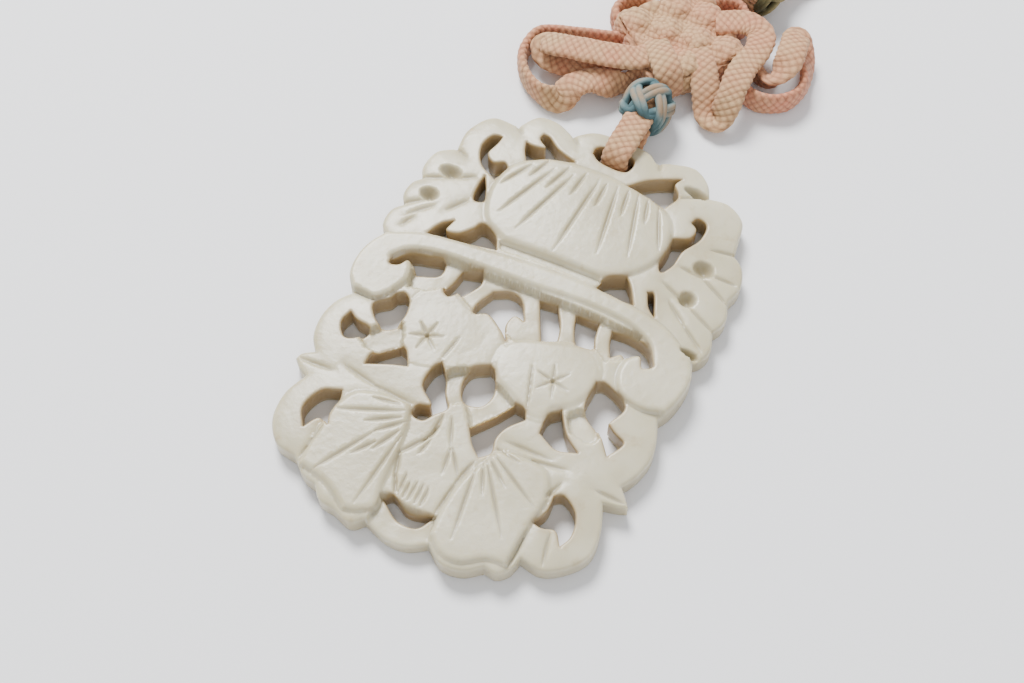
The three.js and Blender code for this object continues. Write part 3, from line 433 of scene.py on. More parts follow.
def border_edges(faces):
    """Directed edges that only one triangle uses."""
    directed = {}
    for a, b, c in faces:
        for edge in ((a, b), (b, c), (c, a)):
            directed[edge] = True
    return [(a, b) for a, b in directed if (b, a) not in directed]


def face_height(plan, rim_distance, hole_distance):
    """The carved face: its height, and how far each point is in a cut or hollow."""
    lens = height_of_dome(plan, (0, 0), LENS_HALF, RIM_BASE, LENS_RISE)
    cut = np.zeros(len(plan))
    height = lens - 0.35 * np.exp(-rim_distance / 1.5) + 0.06 * noise2(plan, 4.5, 3)
    creases = stroke_samples(CREASES, 0.3, (0.0,))
    height -= 0.22 * np.exp(-distance_to(plan, creases, 4.0) / 0.9)
    for area in LOW_AREAS:
        loop = outline(area, 0.4)
        depth = distance_to(plan, loop, 1.5)
        inside = is_inside(plan, loop)
        ease = np.where(inside, np.clip(0.5 + depth / 0.5, 0, 1), np.clip(0.5 - depth / 0.5, 0, 1))
        height = height * (1 - ease) + np.minimum(height, LOW_FACE - 0.1 + 0.1 * noise2(plan, 2.2, 5)) * ease
    strip = is_inside(plan, outline(STRIP, 0.4))
    height[strip] = np.minimum(height[strip], STRIP_FACE)

    fan_dome = ((0, 0), LENS_HALF, RIM_BASE + FAN_RISE + 0.12, LENS_RISE)
    forms = [
        (FAN_LEFT, fan_dome, 0.8), (FAN_RIGHT, fan_dome, 0.8), (SHELL, SHELL_DOME, 0.9),
        (FRUIT_LEFT, FRUIT_LEFT_DOME, 0.9), (FRUIT_RIGHT, FRUIT_RIGHT_DOME, 0.9), (BAND, None, 0.7),
    ]
    for runs, dome, radius in forms:
        loop = outline(runs, 0.3)
        inside = is_inside(plan, loop)
        depth = distance_to(plan, loop, 2.0)
        top = np.full(len(plan), BAND_TOP) if dome is None else height_of_dome(plan, *dome)
        top = top - rounding(np.where(inside, depth, 0), radius)
        outside = ~inside
        height[outside] -= 0.12 * np.exp(-depth[outside] / 0.5)
        height[inside] = np.maximum(height[inside], top[inside])
    cut_strokes(plan, height, cut, SHELL_RIBS, *RIB_CUT)
    cut_strokes(plan, height, cut, star(*STAR_LEFT) + star(*STAR_RIGHT), *STAR_CUT)
    cut_strokes(plan, height, cut, FRUIT_VEINS, *STAR_CUT)
    cut_strokes(plan, height, cut, FAN_LINES, *FAN_CUT)
    cut_strokes(plan, height, cut, CENTRE_LINES, *CENTRE_CUT)
    cut_strokes(plan, height, cut, CENTRE_EDGES, *EDGE_CUT)
    soft = np.zeros(len(plan))
    cut_strokes(plan, height, soft, CREASES, *CREASE_CUT)
    cut = np.maximum(cut, soft * 0.5)
    for x, y, wide, deep in HOLLOWS:
        reach = np.hypot((plan[:, 0] - x) / (wide / 2), (plan[:, 1] - y) / (deep / 2))
        scoop = np.clip(1.2 - reach, 0, 1) ** 0.7
        height -= HOLLOW_DEPTH * scoop
        cut = np.maximum(cut, np.clip(scoop * 1.5, 0, 1))
    height -= rounding(rim_distance, EDGE_RADIUS) + rounding(hole_distance, HOLE_RADIUS)
    height += 0.012 * noise2(plan, 0.7, 8)
    return height, cut


def back_height(plan, edge_distance):
    """The flat back: a rounded edge, and the shallow seat of the cord under its hole."""
    height = 0.02 + rounding(edge_distance, BACK_RADIUS)
    across = np.clip((3.1 - np.abs(plan[:, 0] - 0.2)) / 0.5, 0, 1)
    seat = np.clip(2.35 + 0.14 * (plan[:, 1] - 35.2), 0, None) * np.clip((plan[:, 1] - 30.6) / 0.6, 0, 1)
    return np.maximum(height, seat * across)


def key(point):
    """A point of an outline as a whole-number name, to join the face and the back there."""
    return round(point[0] * 2000), round(point[1] * 2000)


def carve_plaque():
    """The whole plaque as one closed mesh: carved face, flat back, and walls between them."""
    loops = [outline(BORDER, BOUNDARY_STEP)] + [outline(hole, BOUNDARY_STEP) for hole in HOLES.values()]
    border = np.vstack(loops)
    rings, back_rings = [], []
    for i, loop in enumerate(loops):
        inward = 1 if (signed_area(loop) > 0) == (i == 0) else -1
        rings += inward_rings(loop, (0.13, 0.3, 0.52), inward)
        back_rings += inward_rings(loop, (0.2, 0.45), inward)
    fixed = np.vstack(rings)
    fixed = fixed[distance_to(fixed, border, 1.0) > 0.1]
    edges = []
    for runs in [SHELL, BAND, FRUIT_LEFT, FRUIT_RIGHT, FAN_LEFT, FAN_RIGHT] + LOW_AREAS:
        edges += inward_rings(outline(runs, 0.3), (0.12, -0.12, 0.35), 1)
    strokes = SHELL_RIBS + star(*STAR_LEFT) + star(*STAR_RIGHT)
    strokes += FAN_LINES + CENTRE_LINES + CENTRE_EDGES + CREASES
    marks = np.vstack(edges + [stroke_samples(strokes)])
    marks = marks[distance_to(marks, border, 1.0) > 0.14]
    fixed = np.vstack([fixed, marks])
    low, high = loops[0].min(axis=0), loops[0].max(axis=0)
    field = hex_grid(low, high, GRID_STEP)
    field = keep_clear(field, np.vstack([border, fixed]), GRID_STEP * 0.72)
    plan, faces = triangulate(loops, np.vstack([fixed, field]))

    rim_distance = distance_to(plan, loops[0], 4.0)
    hole_distance = distance_to(plan, np.vstack(loops[1:]), 4.0)
    height, cut = face_height(plan, rim_distance, hole_distance)
    wall = np.exp(-hole_distance / 0.35)

    back_fixed = np.vstack(back_rings)
    back_fixed = back_fixed[distance_to(back_fixed, border, 1.0) > 0.17]
    back_field = keep_clear(hex_grid(low, high, BACK_GRID_STEP), np.vstack([border, back_fixed]), 0.6)
    back_plan, back_faces = triangulate(loops, np.vstack([back_fixed, back_field]))
    back_edge = distance_to(back_plan, border, 1.0)
    back_z = back_height(back_plan, back_edge)

    top_rim = border_edges(faces.tolist())
    back_rim = {b for edge in border_edges(back_faces.tolist()) for b in edge}
    back_at = {key(back_plan[i]): i for i in back_rim}
    vertices = [np.column_stack([plan, height]), np.column_stack([back_plan, back_z])]
    base = len(plan)
    mesh_faces = [faces, back_faces[:, ::-1] + base]
    count = base + len(back_plan)
    ring_of = {}
    wall_points, wall_kind = [], []
    rim_set = sorted({v for edge in top_rim for v in edge})
    rng = np.random.default_rng(4)
    for v in rim_set:
        low_z = back_z[back_at[key(plan[v])]]
        ring_of[v] = [v]
        for level in WALL_LEVELS:
            wobble = rng.uniform(-WALL_WOBBLE, WALL_WOBBLE, 2)
            wall_points.append((plan[v][0] + wobble[0], plan[v][1] + wobble[1],
                                low_z + (height[v] - low_z) * (1 - level)))
            wall_kind.append(1.0 if hole_distance[v] < 0.05 else 0.25)
            ring_of[v].append(count)
            count += 1
        ring_of[v].append(base + back_at[key(plan[v])])
    quads = []
    for a, b in top_rim:
        for k in range(len(WALL_LEVELS) + 1):
            a0, a1, b0, b1 = ring_of[a][k], ring_of[a][k + 1], ring_of[b][k], ring_of[b][k + 1]
            quads.append((b0, a0, a1))
            quads.append((b0, a1, b1))
    vertices.append(np.array(wall_points))
    mesh_faces.append(np.array(quads))
    cuts = np.concatenate([cut, np.zeros(len(back_plan)), np.zeros(len(wall_points))])
    walls = np.concatenate([wall, np.exp(-back_edge / 0.3) * 0.4, np.array(wall_kind)])
    return new_mesh("jade_carved", np.vstack(vertices), np.vstack(mesh_faces), {"cut": cuts, "wall": walls})


def in_row_frame(points):
    """Millimetres in the drawing frame to metres in the row's frame."""
    return (points + np.array((*PLAN_SHIFT, 0))) * MM


def new_mesh(name, points, faces, attributes):
    """A mesh object from millimetres in the drawing frame."""
    mesh = bpy.data.meshes.new(name)
    mesh.from_pydata(in_row_frame(points).tolist(), [], faces.tolist())
    for label, values in attributes.items():
        layer = mesh.attributes.new(label, "FLOAT", "POINT")
        layer.data.foreach_set("value", np.asarray(values, np.float32))
    mesh.polygons.foreach_set("use_smooth", [True] * len(mesh.polygons))
    mesh.update()
    piece = bpy.data.objects.new(name, mesh)
    bpy.context.scene.collection.objects.link(piece)
    return piece


# ---------------------------------------------------------------- silk: routes of the braid
# x, y, z and lean (0 lies flat, 90 stands on edge), the same points as the CAD solids
HANGING_LOOP = [
    (0.5, 45.5, 5.55, 0), (0.4, 42.5, 5.55, 0), (0.4, 38, 5.75, 0), (0.3, 35.6, 5.7, 0),
      (0.2, 33.6, 5.55, 0),
    (0.1, 32.2, 5.35, 0), (0, 31.4, 4.6, 0), (0, 31.2, 3.2, 0), (0, 31.3, 1.8, 0), (0, 31.9, 1, 0),
      (0, 33, 0.82, 0),
    (0.1, 34.6, 0.85, 0), (0.2, 36.4, 1.2, 0), (0.4, 37.9, 2.5, 0), (0.4, 39.4, 3.35, 0),
      (0.4, 42.5, 3.35, 0),
    (0.5, 45.5, 3.35, 0),
]
EAR_LEFT_UPPER = [
    (-2.6, 51.5, 5.6, 0), (-4.6, 49.4, 5.8, 0), (-8, 47.9, 6.2, 0), (-12.5, 46.9, 6.1, 0),
      (-16.8, 46.4, 5.6, 0),
    (-19.4, 46.5, 4.3, 0), (-18.6, 45.6, 2.7, 0), (-15.4, 45.6, 2.4, 0), (-12, 47.2, 2.5, 0),
      (-8.8, 49.4, 2.9, 0),
    (-4.6, 52, 3.2, 0),
]
EAR_LEFT_LOWER = [
    (-7.6, 55, 2.3, 90), (-11, 53.2, 2.3, 90), (-16.4, 51.4, 2.3, 90), (-21.6, 49, 2.3, 90),
      (-22.2, 44.2, 2.3, 90),
    (-19.6, 40.4, 2.3, 90), (-15.6, 38.6, 2.3, 80), (-12.9, 39.2, 2.4, 40), (-12, 41.4, 3.4, 5),
      (-9.9, 43.4, 3.9, 0),
    (-7, 44.6, 3.4, 40), (-5.6, 46, 2.5, 85), (-4.2, 48.4, 2.3, 90), (-2, 51, 2.3, 90),
]
EAR_RIGHT_LOWER = [
    (3.4, 55.8, 5.2, 0), (5.4, 52.6, 5.2, 0), (7.2, 49.8, 4, 0), (9.1, 47.2, 1.7, 0), (10.8, 46.7, 1.9, 0),
    (11.4, 48.4, 4.4, 0), (11.2, 51, 5.8, 0), (11.2, 55.1, 6.2, 0), (11.9, 59.2, 6.1, 0),
      (10.8, 62.8, 5.8, 0),
    (8.2, 63.6, 5.9, 0), (3.6, 61.6, 5.6, 0),
]
EAR_RIGHT_UPPER = [
    (4.2, 56, 2.35, 90), (8, 55.2, 2.35, 90), (11.6, 53.6, 2.35, 90), (15.1, 52.6, 2.35, 90),
      (19, 54.4, 2.35, 90),
    (20.4, 58, 2.35, 90), (19.6, 61.6, 2.6, 60), (18, 64.2, 3.2, 20), (16.4, 65.4, 4.7, 0),
      (16.6, 62, 6.2, 0),
    (16.9, 58.6, 6, 0), (15.6, 56.6, 4, 40), (13.4, 57.6, 2.35, 90), (10.1, 59.4, 2.35, 90),
      (5.4, 60.8, 2.35, 90),
]
SIDE_LOOPS = [
    [(-4, 60.6, 2.3, 90), (-8.4, 62.4, 2.3, 90), (-11.6, 61.2, 2.3, 90), (-12.4, 58.2, 2.3, 90),
      (-10, 56.4, 2.3, 90),
     (-5.6, 57, 2.3, 90)],
    [(-1, 63.4, 2.3, 90), (2.2, 67.6, 2.3, 90), (5.6, 68.2, 2.3, 90), (7.2, 65.6, 2.3, 90),
      (6, 63, 2.3, 90),
     (2, 60, 2.3, 90)],
]
FRONT_STRAP = [
    (-3.2, 53.4, 5.6, 0), (-1, 50.8, 6.7, 0), (0.9, 48.7, 6.4, 0), (1.9, 47.6, 4.4, 0), (1.6, 47.9, 2.2, 0),
    (0.2, 50, 1.2, 0), (-2, 52.6, 1.4, 0),
]
HANGER = [
    (5.7, 69.2, 5.45, 0), (7, 72.4, 5.45, 0), (8.5, 76.1, 5.45, 0), (9.6, 79.4, 4.6, 0),
      (10.8, 83.4, 2.4, 0),
    (12.8, 88.4, 0.95, 0), (16.4, 95.4, 0.85, 0), (21.4, 102.6, 0.85, 0), (27.6, 107, 0.85, 0),
      (33, 105, 0.85, 0),
    (33.8, 99, 0.85, 0), (29.6, 93, 0.85, 0), (23, 88.2, 0.85, 0), (16.6, 83.6, 0.95, 0),
      (11.6, 79.8, 2.4, 0),
    (8.8, 76.7, 3.3, 0), (7, 72.4, 3.35, 0), (5.7, 69.2, 3.35, 0),
]
KNOT_CORE = 5.2
STITCH_LENGTH = 1.15
STITCHES_ROUND = 6
STITCH_RELIEF = 0.17
RING_STEP = 0.17
RING_POINTS = 44


def ribbon_frames(line):
    """Tangent, side and face direction at each point of a ribbon's route."""
    ahead = np.gradient(line[:, :3], axis=0)
    ahead /= np.linalg.norm(ahead, axis=1)[:, None]
    up = np.array((0, 0, 1.0))
    side, sides = None, []
    for i, t in enumerate(ahead):
        level = np.cross(t, up)
        if side is not None and np.linalg.norm(level) < 0.2:
            level = side - t * np.dot(side, t)
        level /= np.linalg.norm(level)
        if side is not None and np.dot(level, side) < 0:
            level = -level
        side = level
        lean = math.radians(line[i, 3])
        sides.append(level * math.cos(lean) + np.cross(t, level) * math.sin(lean))
    sides = np.array(sides)
    return ahead, sides, np.cross(ahead, sides)


def flat_section(width, thickness, count, power=0.62):
    """A flat ribbon's section with round edges, as evenly spaced points and its girth."""
    turn = np.linspace(0, 2 * math.pi, 721)
    x = width / 2 * np.sign(np.cos(turn)) * np.abs(np.cos(turn)) ** power
    y = thickness / 2 * np.sign(np.sin(turn)) * np.abs(np.sin(turn)) ** 0.9
    run = np.concatenate([[0], np.cumsum(np.hypot(np.diff(x), np.diff(y)))])
    at = np.linspace(0, run[-1], count, endpoint=False)
    section = np.stack([np.interp(at, run, x), np.interp(at, run, y)], 1)
    ahead = np.roll(section, -1, axis=0) - np.roll(section, 1, axis=0)
    ahead /= np.linalg.norm(ahead, axis=1)[:, None]
    return section, np.stack([ahead[:, 1], -ahead[:, 0]], 1), at / run[-1]


def plait(along, around):
    """Height of plaited yarn, 0 to 1: two families of strands, over and under each other."""
    p = along / STITCH_LENGTH + around * STITCHES_ROUND
    q = along / STITCH_LENGTH - around * STITCHES_ROUND
    over = (np.floor(p) + np.floor(q)) % 2 == 0
    across = np.where(over, q - np.floor(q), p - np.floor(p))
    ahead = np.where(over, p - np.floor(p), q - np.floor(q))
    round_top = np.clip(1 - (2 * across - 1) ** 2, 0, 1) ** 0.6
    return round_top * (0.35 + 0.65 * np.sin(math.pi * ahead) ** 0.7), np.floor(p) * 7.3 + np.floor(q) * 3.1


def braid(route, width=BRAID_WIDTH, thickness=BRAID_THICKNESS):
    """Points, faces and attributes of one plaited ribbon along a route."""
    line = spline(route, RING_STEP)
    ahead, sides, ups = ribbon_frames(line)
    section, outward, around = flat_section(width - STITCH_RELIEF, thickness - STITCH_RELIEF, RING_POINTS)
    run = np.arange(len(line)) * RING_STEP
    stitch, number = plait(run[:, None] + np.zeros(RING_POINTS), around[None, :] + np.zeros((len(line), 1)))
    wander = noise2(np.stack([run, run * 0 + width], 1), 3.1, 12) * 0.08
    swell = 1 + noise2(np.stack([run, run * 0], 1), 2.3, 11) * 0.05
    x = section[None, :, 0] * swell[:, None] + outward[None, :, 0] * stitch * STITCH_RELIEF + wander[:, None]
    y = section[None, :, 1] + outward[None, :, 1] * stitch * STITCH_RELIEF
    points = line[:, None, :3] + x[:, :, None] * sides[:, None, :] + y[:, :, None] * ups[:, None, :]
    rings = len(line)
    faces = []
    for i in range(rings - 1):
        a = i * RING_POINTS + np.arange(RING_POINTS)
        b = i * RING_POINTS + (np.arange(RING_POINTS) + 1) % RING_POINTS
        faces += [np.stack([a, b, b + RING_POINTS], 1), np.stack([a, b + RING_POINTS, a + RING_POINTS], 1)]
    ends = [line[0, :3], line[-1, :3]]
    flat = points.reshape(-1, 3)
    last = (rings - 1) * RING_POINTS
    around_i = np.arange(RING_POINTS)
    next_i = (around_i + 1) % RING_POINTS
    faces.append(np.stack([next_i, around_i, np.full(RING_POINTS, len(flat))], 1))
    faces.append(np.stack([last + around_i, last + next_i, np.full(RING_POINTS, len(flat) + 1)], 1))
    flat = np.vstack([flat, ends])
    tone = np.sin(number * 12.9898) * 43758.5453
    tone = tone - np.floor(tone)
    share = np.repeat(np.linspace(0, 1, rings), RING_POINTS)
    return {
        "points": flat, "faces": np.vstack(faces), "path": line[:, :3],
        "stitch": np.append(stitch.reshape(-1), (0, 0)), "tone": np.append(tone.reshape(-1), (0.5, 0.5)),
        "share": np.append(share, (0, 1)),
    }


def redness(part, stops):
    """Amount of faded red along the ribbon, from (share of its length, amount) stops."""
    at, amount = zip(*stops)
    red = np.interp(part["share"], at, amount)
    return np.clip(red + 0.28 * noise2(part["points"][:, :2] + 20, 2.4, 21), 0, 1)


def cord_piece(name, node, route, stops, **cord):
    """One loop of the braid as a piece that stands for its CAD node."""
    part = braid(route)
    piece = new_mesh(name, part["points"], part["faces"],
                     {"stitch": part["stitch"], "tone": part["tone"], "red": redness(part, stops)})
    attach(piece, "root")
    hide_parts(node)
    return piece


def merged(parts):
    """Several parts as one set of points, faces and attributes."""
    points, faces, start = [], [], 0
    for part in parts:
        points.append(part["points"])
        faces.append(part["faces"] + start)
        start += len(part["points"])
    keys = [k for k in parts[0] if k not in ("points", "faces", "path")]
    out = {k: np.concatenate([part[k] for part in parts]) for k in keys}
    out.update(points=np.vstack(points), faces=np.vstack(faces))
    return out


def knot_strap(way, i):
    """One strap of the woven knot: over and under across the face, and back underneath."""
    straps = 4
    pitch = KNOT_SIDE / straps
    half = KNOT_SIDE / 2
    offset = (i - (straps - 1) / 2) * pitch
    turn = math.radians(KNOT_TURN + 90 * way)
    route = []
    for j in range(4 * straps + 1):
        along = -half + j * pitch / 4
        wave = 0.62 * math.cos((along / pitch + 0.5 + i + way) * math.pi)
        ease = min(1, (half - abs(along)) / 1.6 + 0.15)
        route.append((along, KNOT_CORE - 0.25 + wave * ease))
    route += [(half + 0.45, KNOT_CORE - 1.6), (half + 0.35, 2.6), (half - 0.4, 1.2)]
    for j in range(1, 2 * straps):
        along = half - j * pitch / 2
        route.append((along, 1.05 + 0.2 * math.cos((along / pitch + 0.5 + i + way) * math.pi)))
    route += [(-half + 0.4, 1.2), (-half - 0.35, 2.6), (-half - 0.45, KNOT_CORE - 1.6)]
    route.append(route[0])
    cos, sin = math.cos(turn), math.sin(turn)
    placed = [(KNOT_CENTRE[0] + a * cos - offset * sin, KNOT_CENTRE[1] + a * sin + offset * cos, z, 0)
              for a, z in route]
    return braid(placed, width=pitch * 1.12, thickness=1.75)


def knot_filling():
    """The layers inside the woven knot in the yarn's darkest colour, painted shade seen only as dark gaps."""
    half = KNOT_SIDE / 2 - 0.3
    corners = [(-half, -half), (half, -half), (half, half), (-half, half)]
    turn = math.radians(KNOT_TURN)
    points = []
    for z in (1.0, KNOT_CORE - 0.5):
        for x, y in corners:
            points.append((KNOT_CENTRE[0] + x * math.cos(turn) - y * math.sin(turn),
                           KNOT_CENTRE[1] + x * math.sin(turn) + y * math.cos(turn), z))
    faces = [(0, 2, 1), (0, 3, 2), (4, 5, 6), (4, 6, 7)]
    for a in range(4):
        b = (a + 1) % 4
        faces += [(a, b, b + 4), (a, b + 4, a + 4)]
    # Zero stitch height gives the filling the darkest yarn colour, painted shade.
    flat = np.zeros(8)
    return {"points": np.array(points), "faces": np.array(faces), "stitch": flat, "tone": flat, "red": flat}


def woven_knot():
    """The woven straps, the small side loops, the front strap and the filling, as one piece."""
    parts = []
    for way in range(2):
        for i in range(4):
            part = knot_strap(way, i)
            red = 0.18 + 0.5 * noise2(part["points"][:, :2] + 9, 4.2, 33)
            red += 0.5 * np.clip((5.2 - part["points"][:, 2]) / 3, 0, 1)
            part["red"] = np.clip(red, 0, 1)
            parts.append(part)
    for loop, amount in zip(SIDE_LOOPS, (0.75, 1.0)):
        part = braid(loop)
        part["red"] = redness(part, [(0, amount), (1, amount)])
        parts.append(part)
    front = braid(FRONT_STRAP)
    front["red"] = redness(front, [(0, 0.15), (0.3, 0.1), (0.6, 0.5), (1, 0.8)])
    parts = [{k: p[k] for k in ("points", "faces", "stitch", "tone", "red")} for p in parts + [front]]
    part = merged(parts + [knot_filling()])
    piece = new_mesh("silk_woven_knot", part["points"], part["faces"],
                     {"stitch": part["stitch"], "tone": part["tone"], "red": part["red"]})
    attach(piece, "root")
    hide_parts("woven_knot")
    return piece


# ---------------------------------------------------------------- the bead knots
BEAD_CORD = 1.2
BEAD_WAIST = 3.55
BEAD_SWAY = 0.3
BEAD_CORD_TURN = 0.15


def wound_cord(half_length, radius, sway, cord, turned):
    """Thin cord wound to and fro round the braid: three rounds that close on themselves."""
    count = 420
    phi = np.linspace(0, 6 * math.pi, count, endpoint=False)
    theta = 5 / 3 * phi
    along = half_length * np.sin(theta)
    bulge = radius * np.sqrt(np.clip(1 - (along / (half_length * 1.35)) ** 2, 0.1, None))
    reach = bulge + sway * np.sin(2 * theta)
    angle = phi + turned
    centre = np.stack([reach * np.sin(angle), along, reach * np.cos(angle)], 1)
    ahead = np.roll(centre, -1, axis=0) - np.roll(centre, 1, axis=0)
    ahead /= np.linalg.norm(ahead, axis=1)[:, None]
    out = centre * (1, 0, 1)
    out -= ahead * np.sum(out * ahead, axis=1)[:, None]
    out /= np.linalg.norm(out, axis=1)[:, None]
    side = np.cross(ahead, out)
    ring = 18
    turn = np.linspace(0, 2 * math.pi, ring, endpoint=False)
    twist = np.arange(count)[:, None] * 0.33 + turn[None, :] * 2
    swell = 1 + 0.05 * np.cos(twist)
    points = (centre[:, None, :] + cord / 2 * swell[:, :, None]
              * (np.cos(turn)[None, :, None] * out[:, None, :] + np.sin(turn)[None, :, None] * side[:, None, :]))
    index = np.arange(count)[:, None] * ring + np.arange(ring)[None, :]
    below = np.roll(index, -1, axis=0)
    a, b, c, d = index, np.roll(index, -1, axis=1), np.roll(below, -1, axis=1), below
    faces = np.vstack([np.stack([a, b, c], 2).reshape(-1, 3), np.stack([a, c, d], 2).reshape(-1, 3)])
    crest = np.repeat(reach, ring) + (cord / 2 * np.cos(turn)[None, :] + np.zeros((count, 1))).reshape(-1)
    return {"points": points.reshape(-1, 3), "faces": faces, "crest": crest, "ply": (np.cos(twist)).reshape(-1)}


def bead(name, node, centre, lean):
    """A bead knot: two thin cords side by side, wound round the braid."""
    half_length = BEAD_LENGTH / 2 - BEAD_CORD / 2 - 0.1
    parts = []
    for turned in (-BEAD_CORD_TURN, BEAD_CORD_TURN):
        parts.append(wound_cord(half_length, BEAD_WAIST, BEAD_SWAY, BEAD_CORD, turned))
    part = merged(parts)
    angle = math.radians(lean)
    cos, sin = math.cos(angle), math.sin(angle)
    spin = np.array(((cos, -sin, 0), (sin, cos, 0), (0, 0, 1)))
    points = part["points"] @ spin.T + np.array(centre)
    crest = np.clip((part["crest"] - 3.2) / 1.1, 0, 1)
    piece = new_mesh(name, points, part["faces"], {"crest": crest, "ply": part["ply"]})
    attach(piece, "root")
    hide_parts(node)
    return piece


# ---------------------------------------------------------------- materials
def new_material(name):
    material = bpy.data.materials.new(name)
    material.use_nodes = True
    tree = material.node_tree
    shader = tree.nodes["Principled BSDF"]
    return material, tree, shader


def attribute(tree, name):
    node = tree.nodes.new("ShaderNodeAttribute")
    node.attribute_name = name
    return node.outputs["Fac"]


def noise(tree, scale, detail=4.0, roughness=0.55):
    """3-D noise in object space; scale is in cells a metre."""
    node = tree.nodes.new("ShaderNodeTexNoise")
    node.inputs["Scale"].default_value = scale
    node.inputs["Detail"].default_value = detail
    node.inputs["Roughness"].default_value = roughness
    place = tree.nodes.new("ShaderNodeTexCoord")
    tree.links.new(place.outputs["Object"], node.inputs["Vector"])
    return node.outputs["Fac"]


def ramp(tree, value, stops):
    node = tree.nodes.new("ShaderNodeValToRGB")
    tree.links.new(value, node.inputs["Fac"])
    elements = node.color_ramp.elements
    while len(elements) < len(stops):
        elements.new(0.5)
    for element, (at, colour) in zip(elements, stops):
        element.position = at
        element.color = (*linear(colour), 1)
    return node.outputs["Color"]


def linear(colour):
    """sRGB 0-255 to linear."""
    shares = [c / 255 for c in colour]
    return tuple(c / 12.92 if c <= 0.04045 else ((c + 0.055) / 1.055) ** 2.4 for c in shares)


def mixed(tree, amount, a, b):
    """Blend of two colours, each a socket or an sRGB 0-255 tuple."""
    node = tree.nodes.new("ShaderNodeMix")
    node.data_type = "RGBA"
    for value, socket in ((amount, node.inputs[0]), (a, node.inputs[6]), (b, node.inputs[7])):
        if isinstance(value, bpy.types.NodeSocket):
            tree.links.new(value, socket)
        elif isinstance(value, tuple):
            socket.default_value = (*linear(value), 1)
        else:
            socket.default_value = value
    return node.outputs[2]


def maths(tree, kind, a, b, clamp=False):
    node = tree.nodes.new("ShaderNodeMath")
    node.operation = kind
    node.use_clamp = clamp
    for value, socket in ((a, node.inputs[0]), (b, node.inputs[1])):
        if isinstance(value, bpy.types.NodeSocket):
            tree.links.new(value, socket)
        else:
            socket.default_value = value
    return node.outputs[0]


def bump(tree, shader, height, distance, strength=1.0):
    node = tree.nodes.new("ShaderNodeBump")
    node.inputs["Distance"].default_value = distance
    node.inputs["Strength"].default_value = strength
    tree.links.new(height, node.inputs["Height"])
    tree.links.new(node.outputs["Normal"], shader.inputs["Normal"])


def jade_material():
    material, tree, shader = new_material("worn_jade")
    cloud = noise(tree, 90, 3)
    fine = noise(tree, 420, 5, 0.6)
    body = ramp(tree, cloud, [(0.3, (178, 169, 140)), (0.5, (190, 182, 154)), (0.7, (202, 195, 170))])
    specks = maths(tree, "MULTIPLY", maths(tree, "SUBTRACT", fine, 0.58, True), 3.0, True)
    body = mixed(tree, specks, body, (168, 150, 112))
    # The engraved cuts and scooped hollows are coloured darker.
    cut_darkening = maths(tree, "MULTIPLY", attribute(tree, "cut"), 0.55)
    body = mixed(tree, cut_darkening, body, (128, 112, 78))
    wall = maths(tree, "MULTIPLY", attribute(tree, "wall"), 0.8)
    body = mixed(tree, wall, body, (150, 124, 82))
    tree.links.new(body, shader.inputs["Base Color"])
    shader.inputs["Roughness"].default_value = 0.33
    shader.inputs["Subsurface Weight"].default_value = 0.6
    shader.inputs["Subsurface Radius"].default_value = (1.0, 0.85, 0.55)
    shader.inputs["Subsurface Scale"].default_value = 0.0018
    bump(tree, shader, noise(tree, 1500, 4), 0.00006, 0.6)
    return material


def silk_material():
    material, tree, shader = new_material("silk_braid")
    stitch, red, tone = attribute(tree, "stitch"), attribute(tree, "red"), attribute(tree, "tone")
    # Painted shade and painted highlight: each yarn colour runs from dark in the valleys between stitches to
    # light on their crests.
    tan_shade_and_highlight = ramp(tree, stitch, [(0.0, (92, 62, 40)), (0.45, (158, 116, 80)), (1.0, (198, 160, 118))])
    rose_shade_and_highlight = ramp(tree, stitch, [(0.0, (104, 44, 36)), (0.45, (170, 88, 66)), (1.0, (204, 128, 100))])
    body = mixed(tree, red, tan_shade_and_highlight, rose_shade_and_highlight)
    uneven = maths(tree, "ADD", maths(tree, "MULTIPLY", tone, 0.5), noise(tree, 350, 3))
    fade = maths(tree, "MULTIPLY", uneven, 0.55)
    body = mixed(tree, maths(tree, "MULTIPLY", fade, 0.5), body, (206, 176, 134))
    fibre = noise(tree, 4200, 3, 0.7)
    worn = maths(tree, "MULTIPLY", maths(tree, "SUBTRACT", fibre, 0.5, True), 1.6, True)
    body = mixed(tree, worn, body, (100, 70, 48))
    tree.links.new(body, shader.inputs["Base Color"])
    shader.inputs["Roughness"].default_value = 0.78
    shader.inputs["Specular IOR Level"].default_value = 0.25
    shader.inputs["Sheen Weight"].default_value = 0.15
    shader.inputs["Sheen Roughness"].default_value = 0.5
    bump(tree, shader, fibre, 0.00008, 0.7)
    return material


def bead_material(name, hollow, mid, crest):
    material, tree, shader = new_material(name)
    # Partly the cord's own colour, partly painted shade and painted highlight: darker in the hollows of the
    # winding, lighter on its crests.
    high = maths(tree, "ADD", attribute(tree, "crest"), maths(tree, "SUBTRACT", noise(tree, 300, 3), 0.5))
    body = ramp(tree, high, [(0.1, hollow), (0.55, mid), (0.95, crest)])
    fibre = noise(tree, 3800, 3, 0.7)
    worn = maths(tree, "MULTIPLY", maths(tree, "SUBTRACT", fibre, 0.48, True), 1.5, True)
    body = mixed(tree, worn, body, hollow)
    tree.links.new(body, shader.inputs["Base Color"])
    shader.inputs["Roughness"].default_value = 0.8
    shader.inputs["Specular IOR Level"].default_value = 0.25
    bump(tree, shader, fibre, 0.00008, 0.7)
    return material


def paint(piece, material):
    piece.data.materials.clear()
    piece.data.materials.append(material)


# ---------------------------------------------------------------- camera and light
PHOTO_RIGHT = (0.89213, 0.45177, -0.00406)
PHOTO_UP = (-0.39832, 0.79075, 0.46482)
PHOTO_EYE = (46.007, -92.594, 194.5)
PHOTO_LENS = 52.73
LIT_PLACE = (0.005, 0.03, 0)


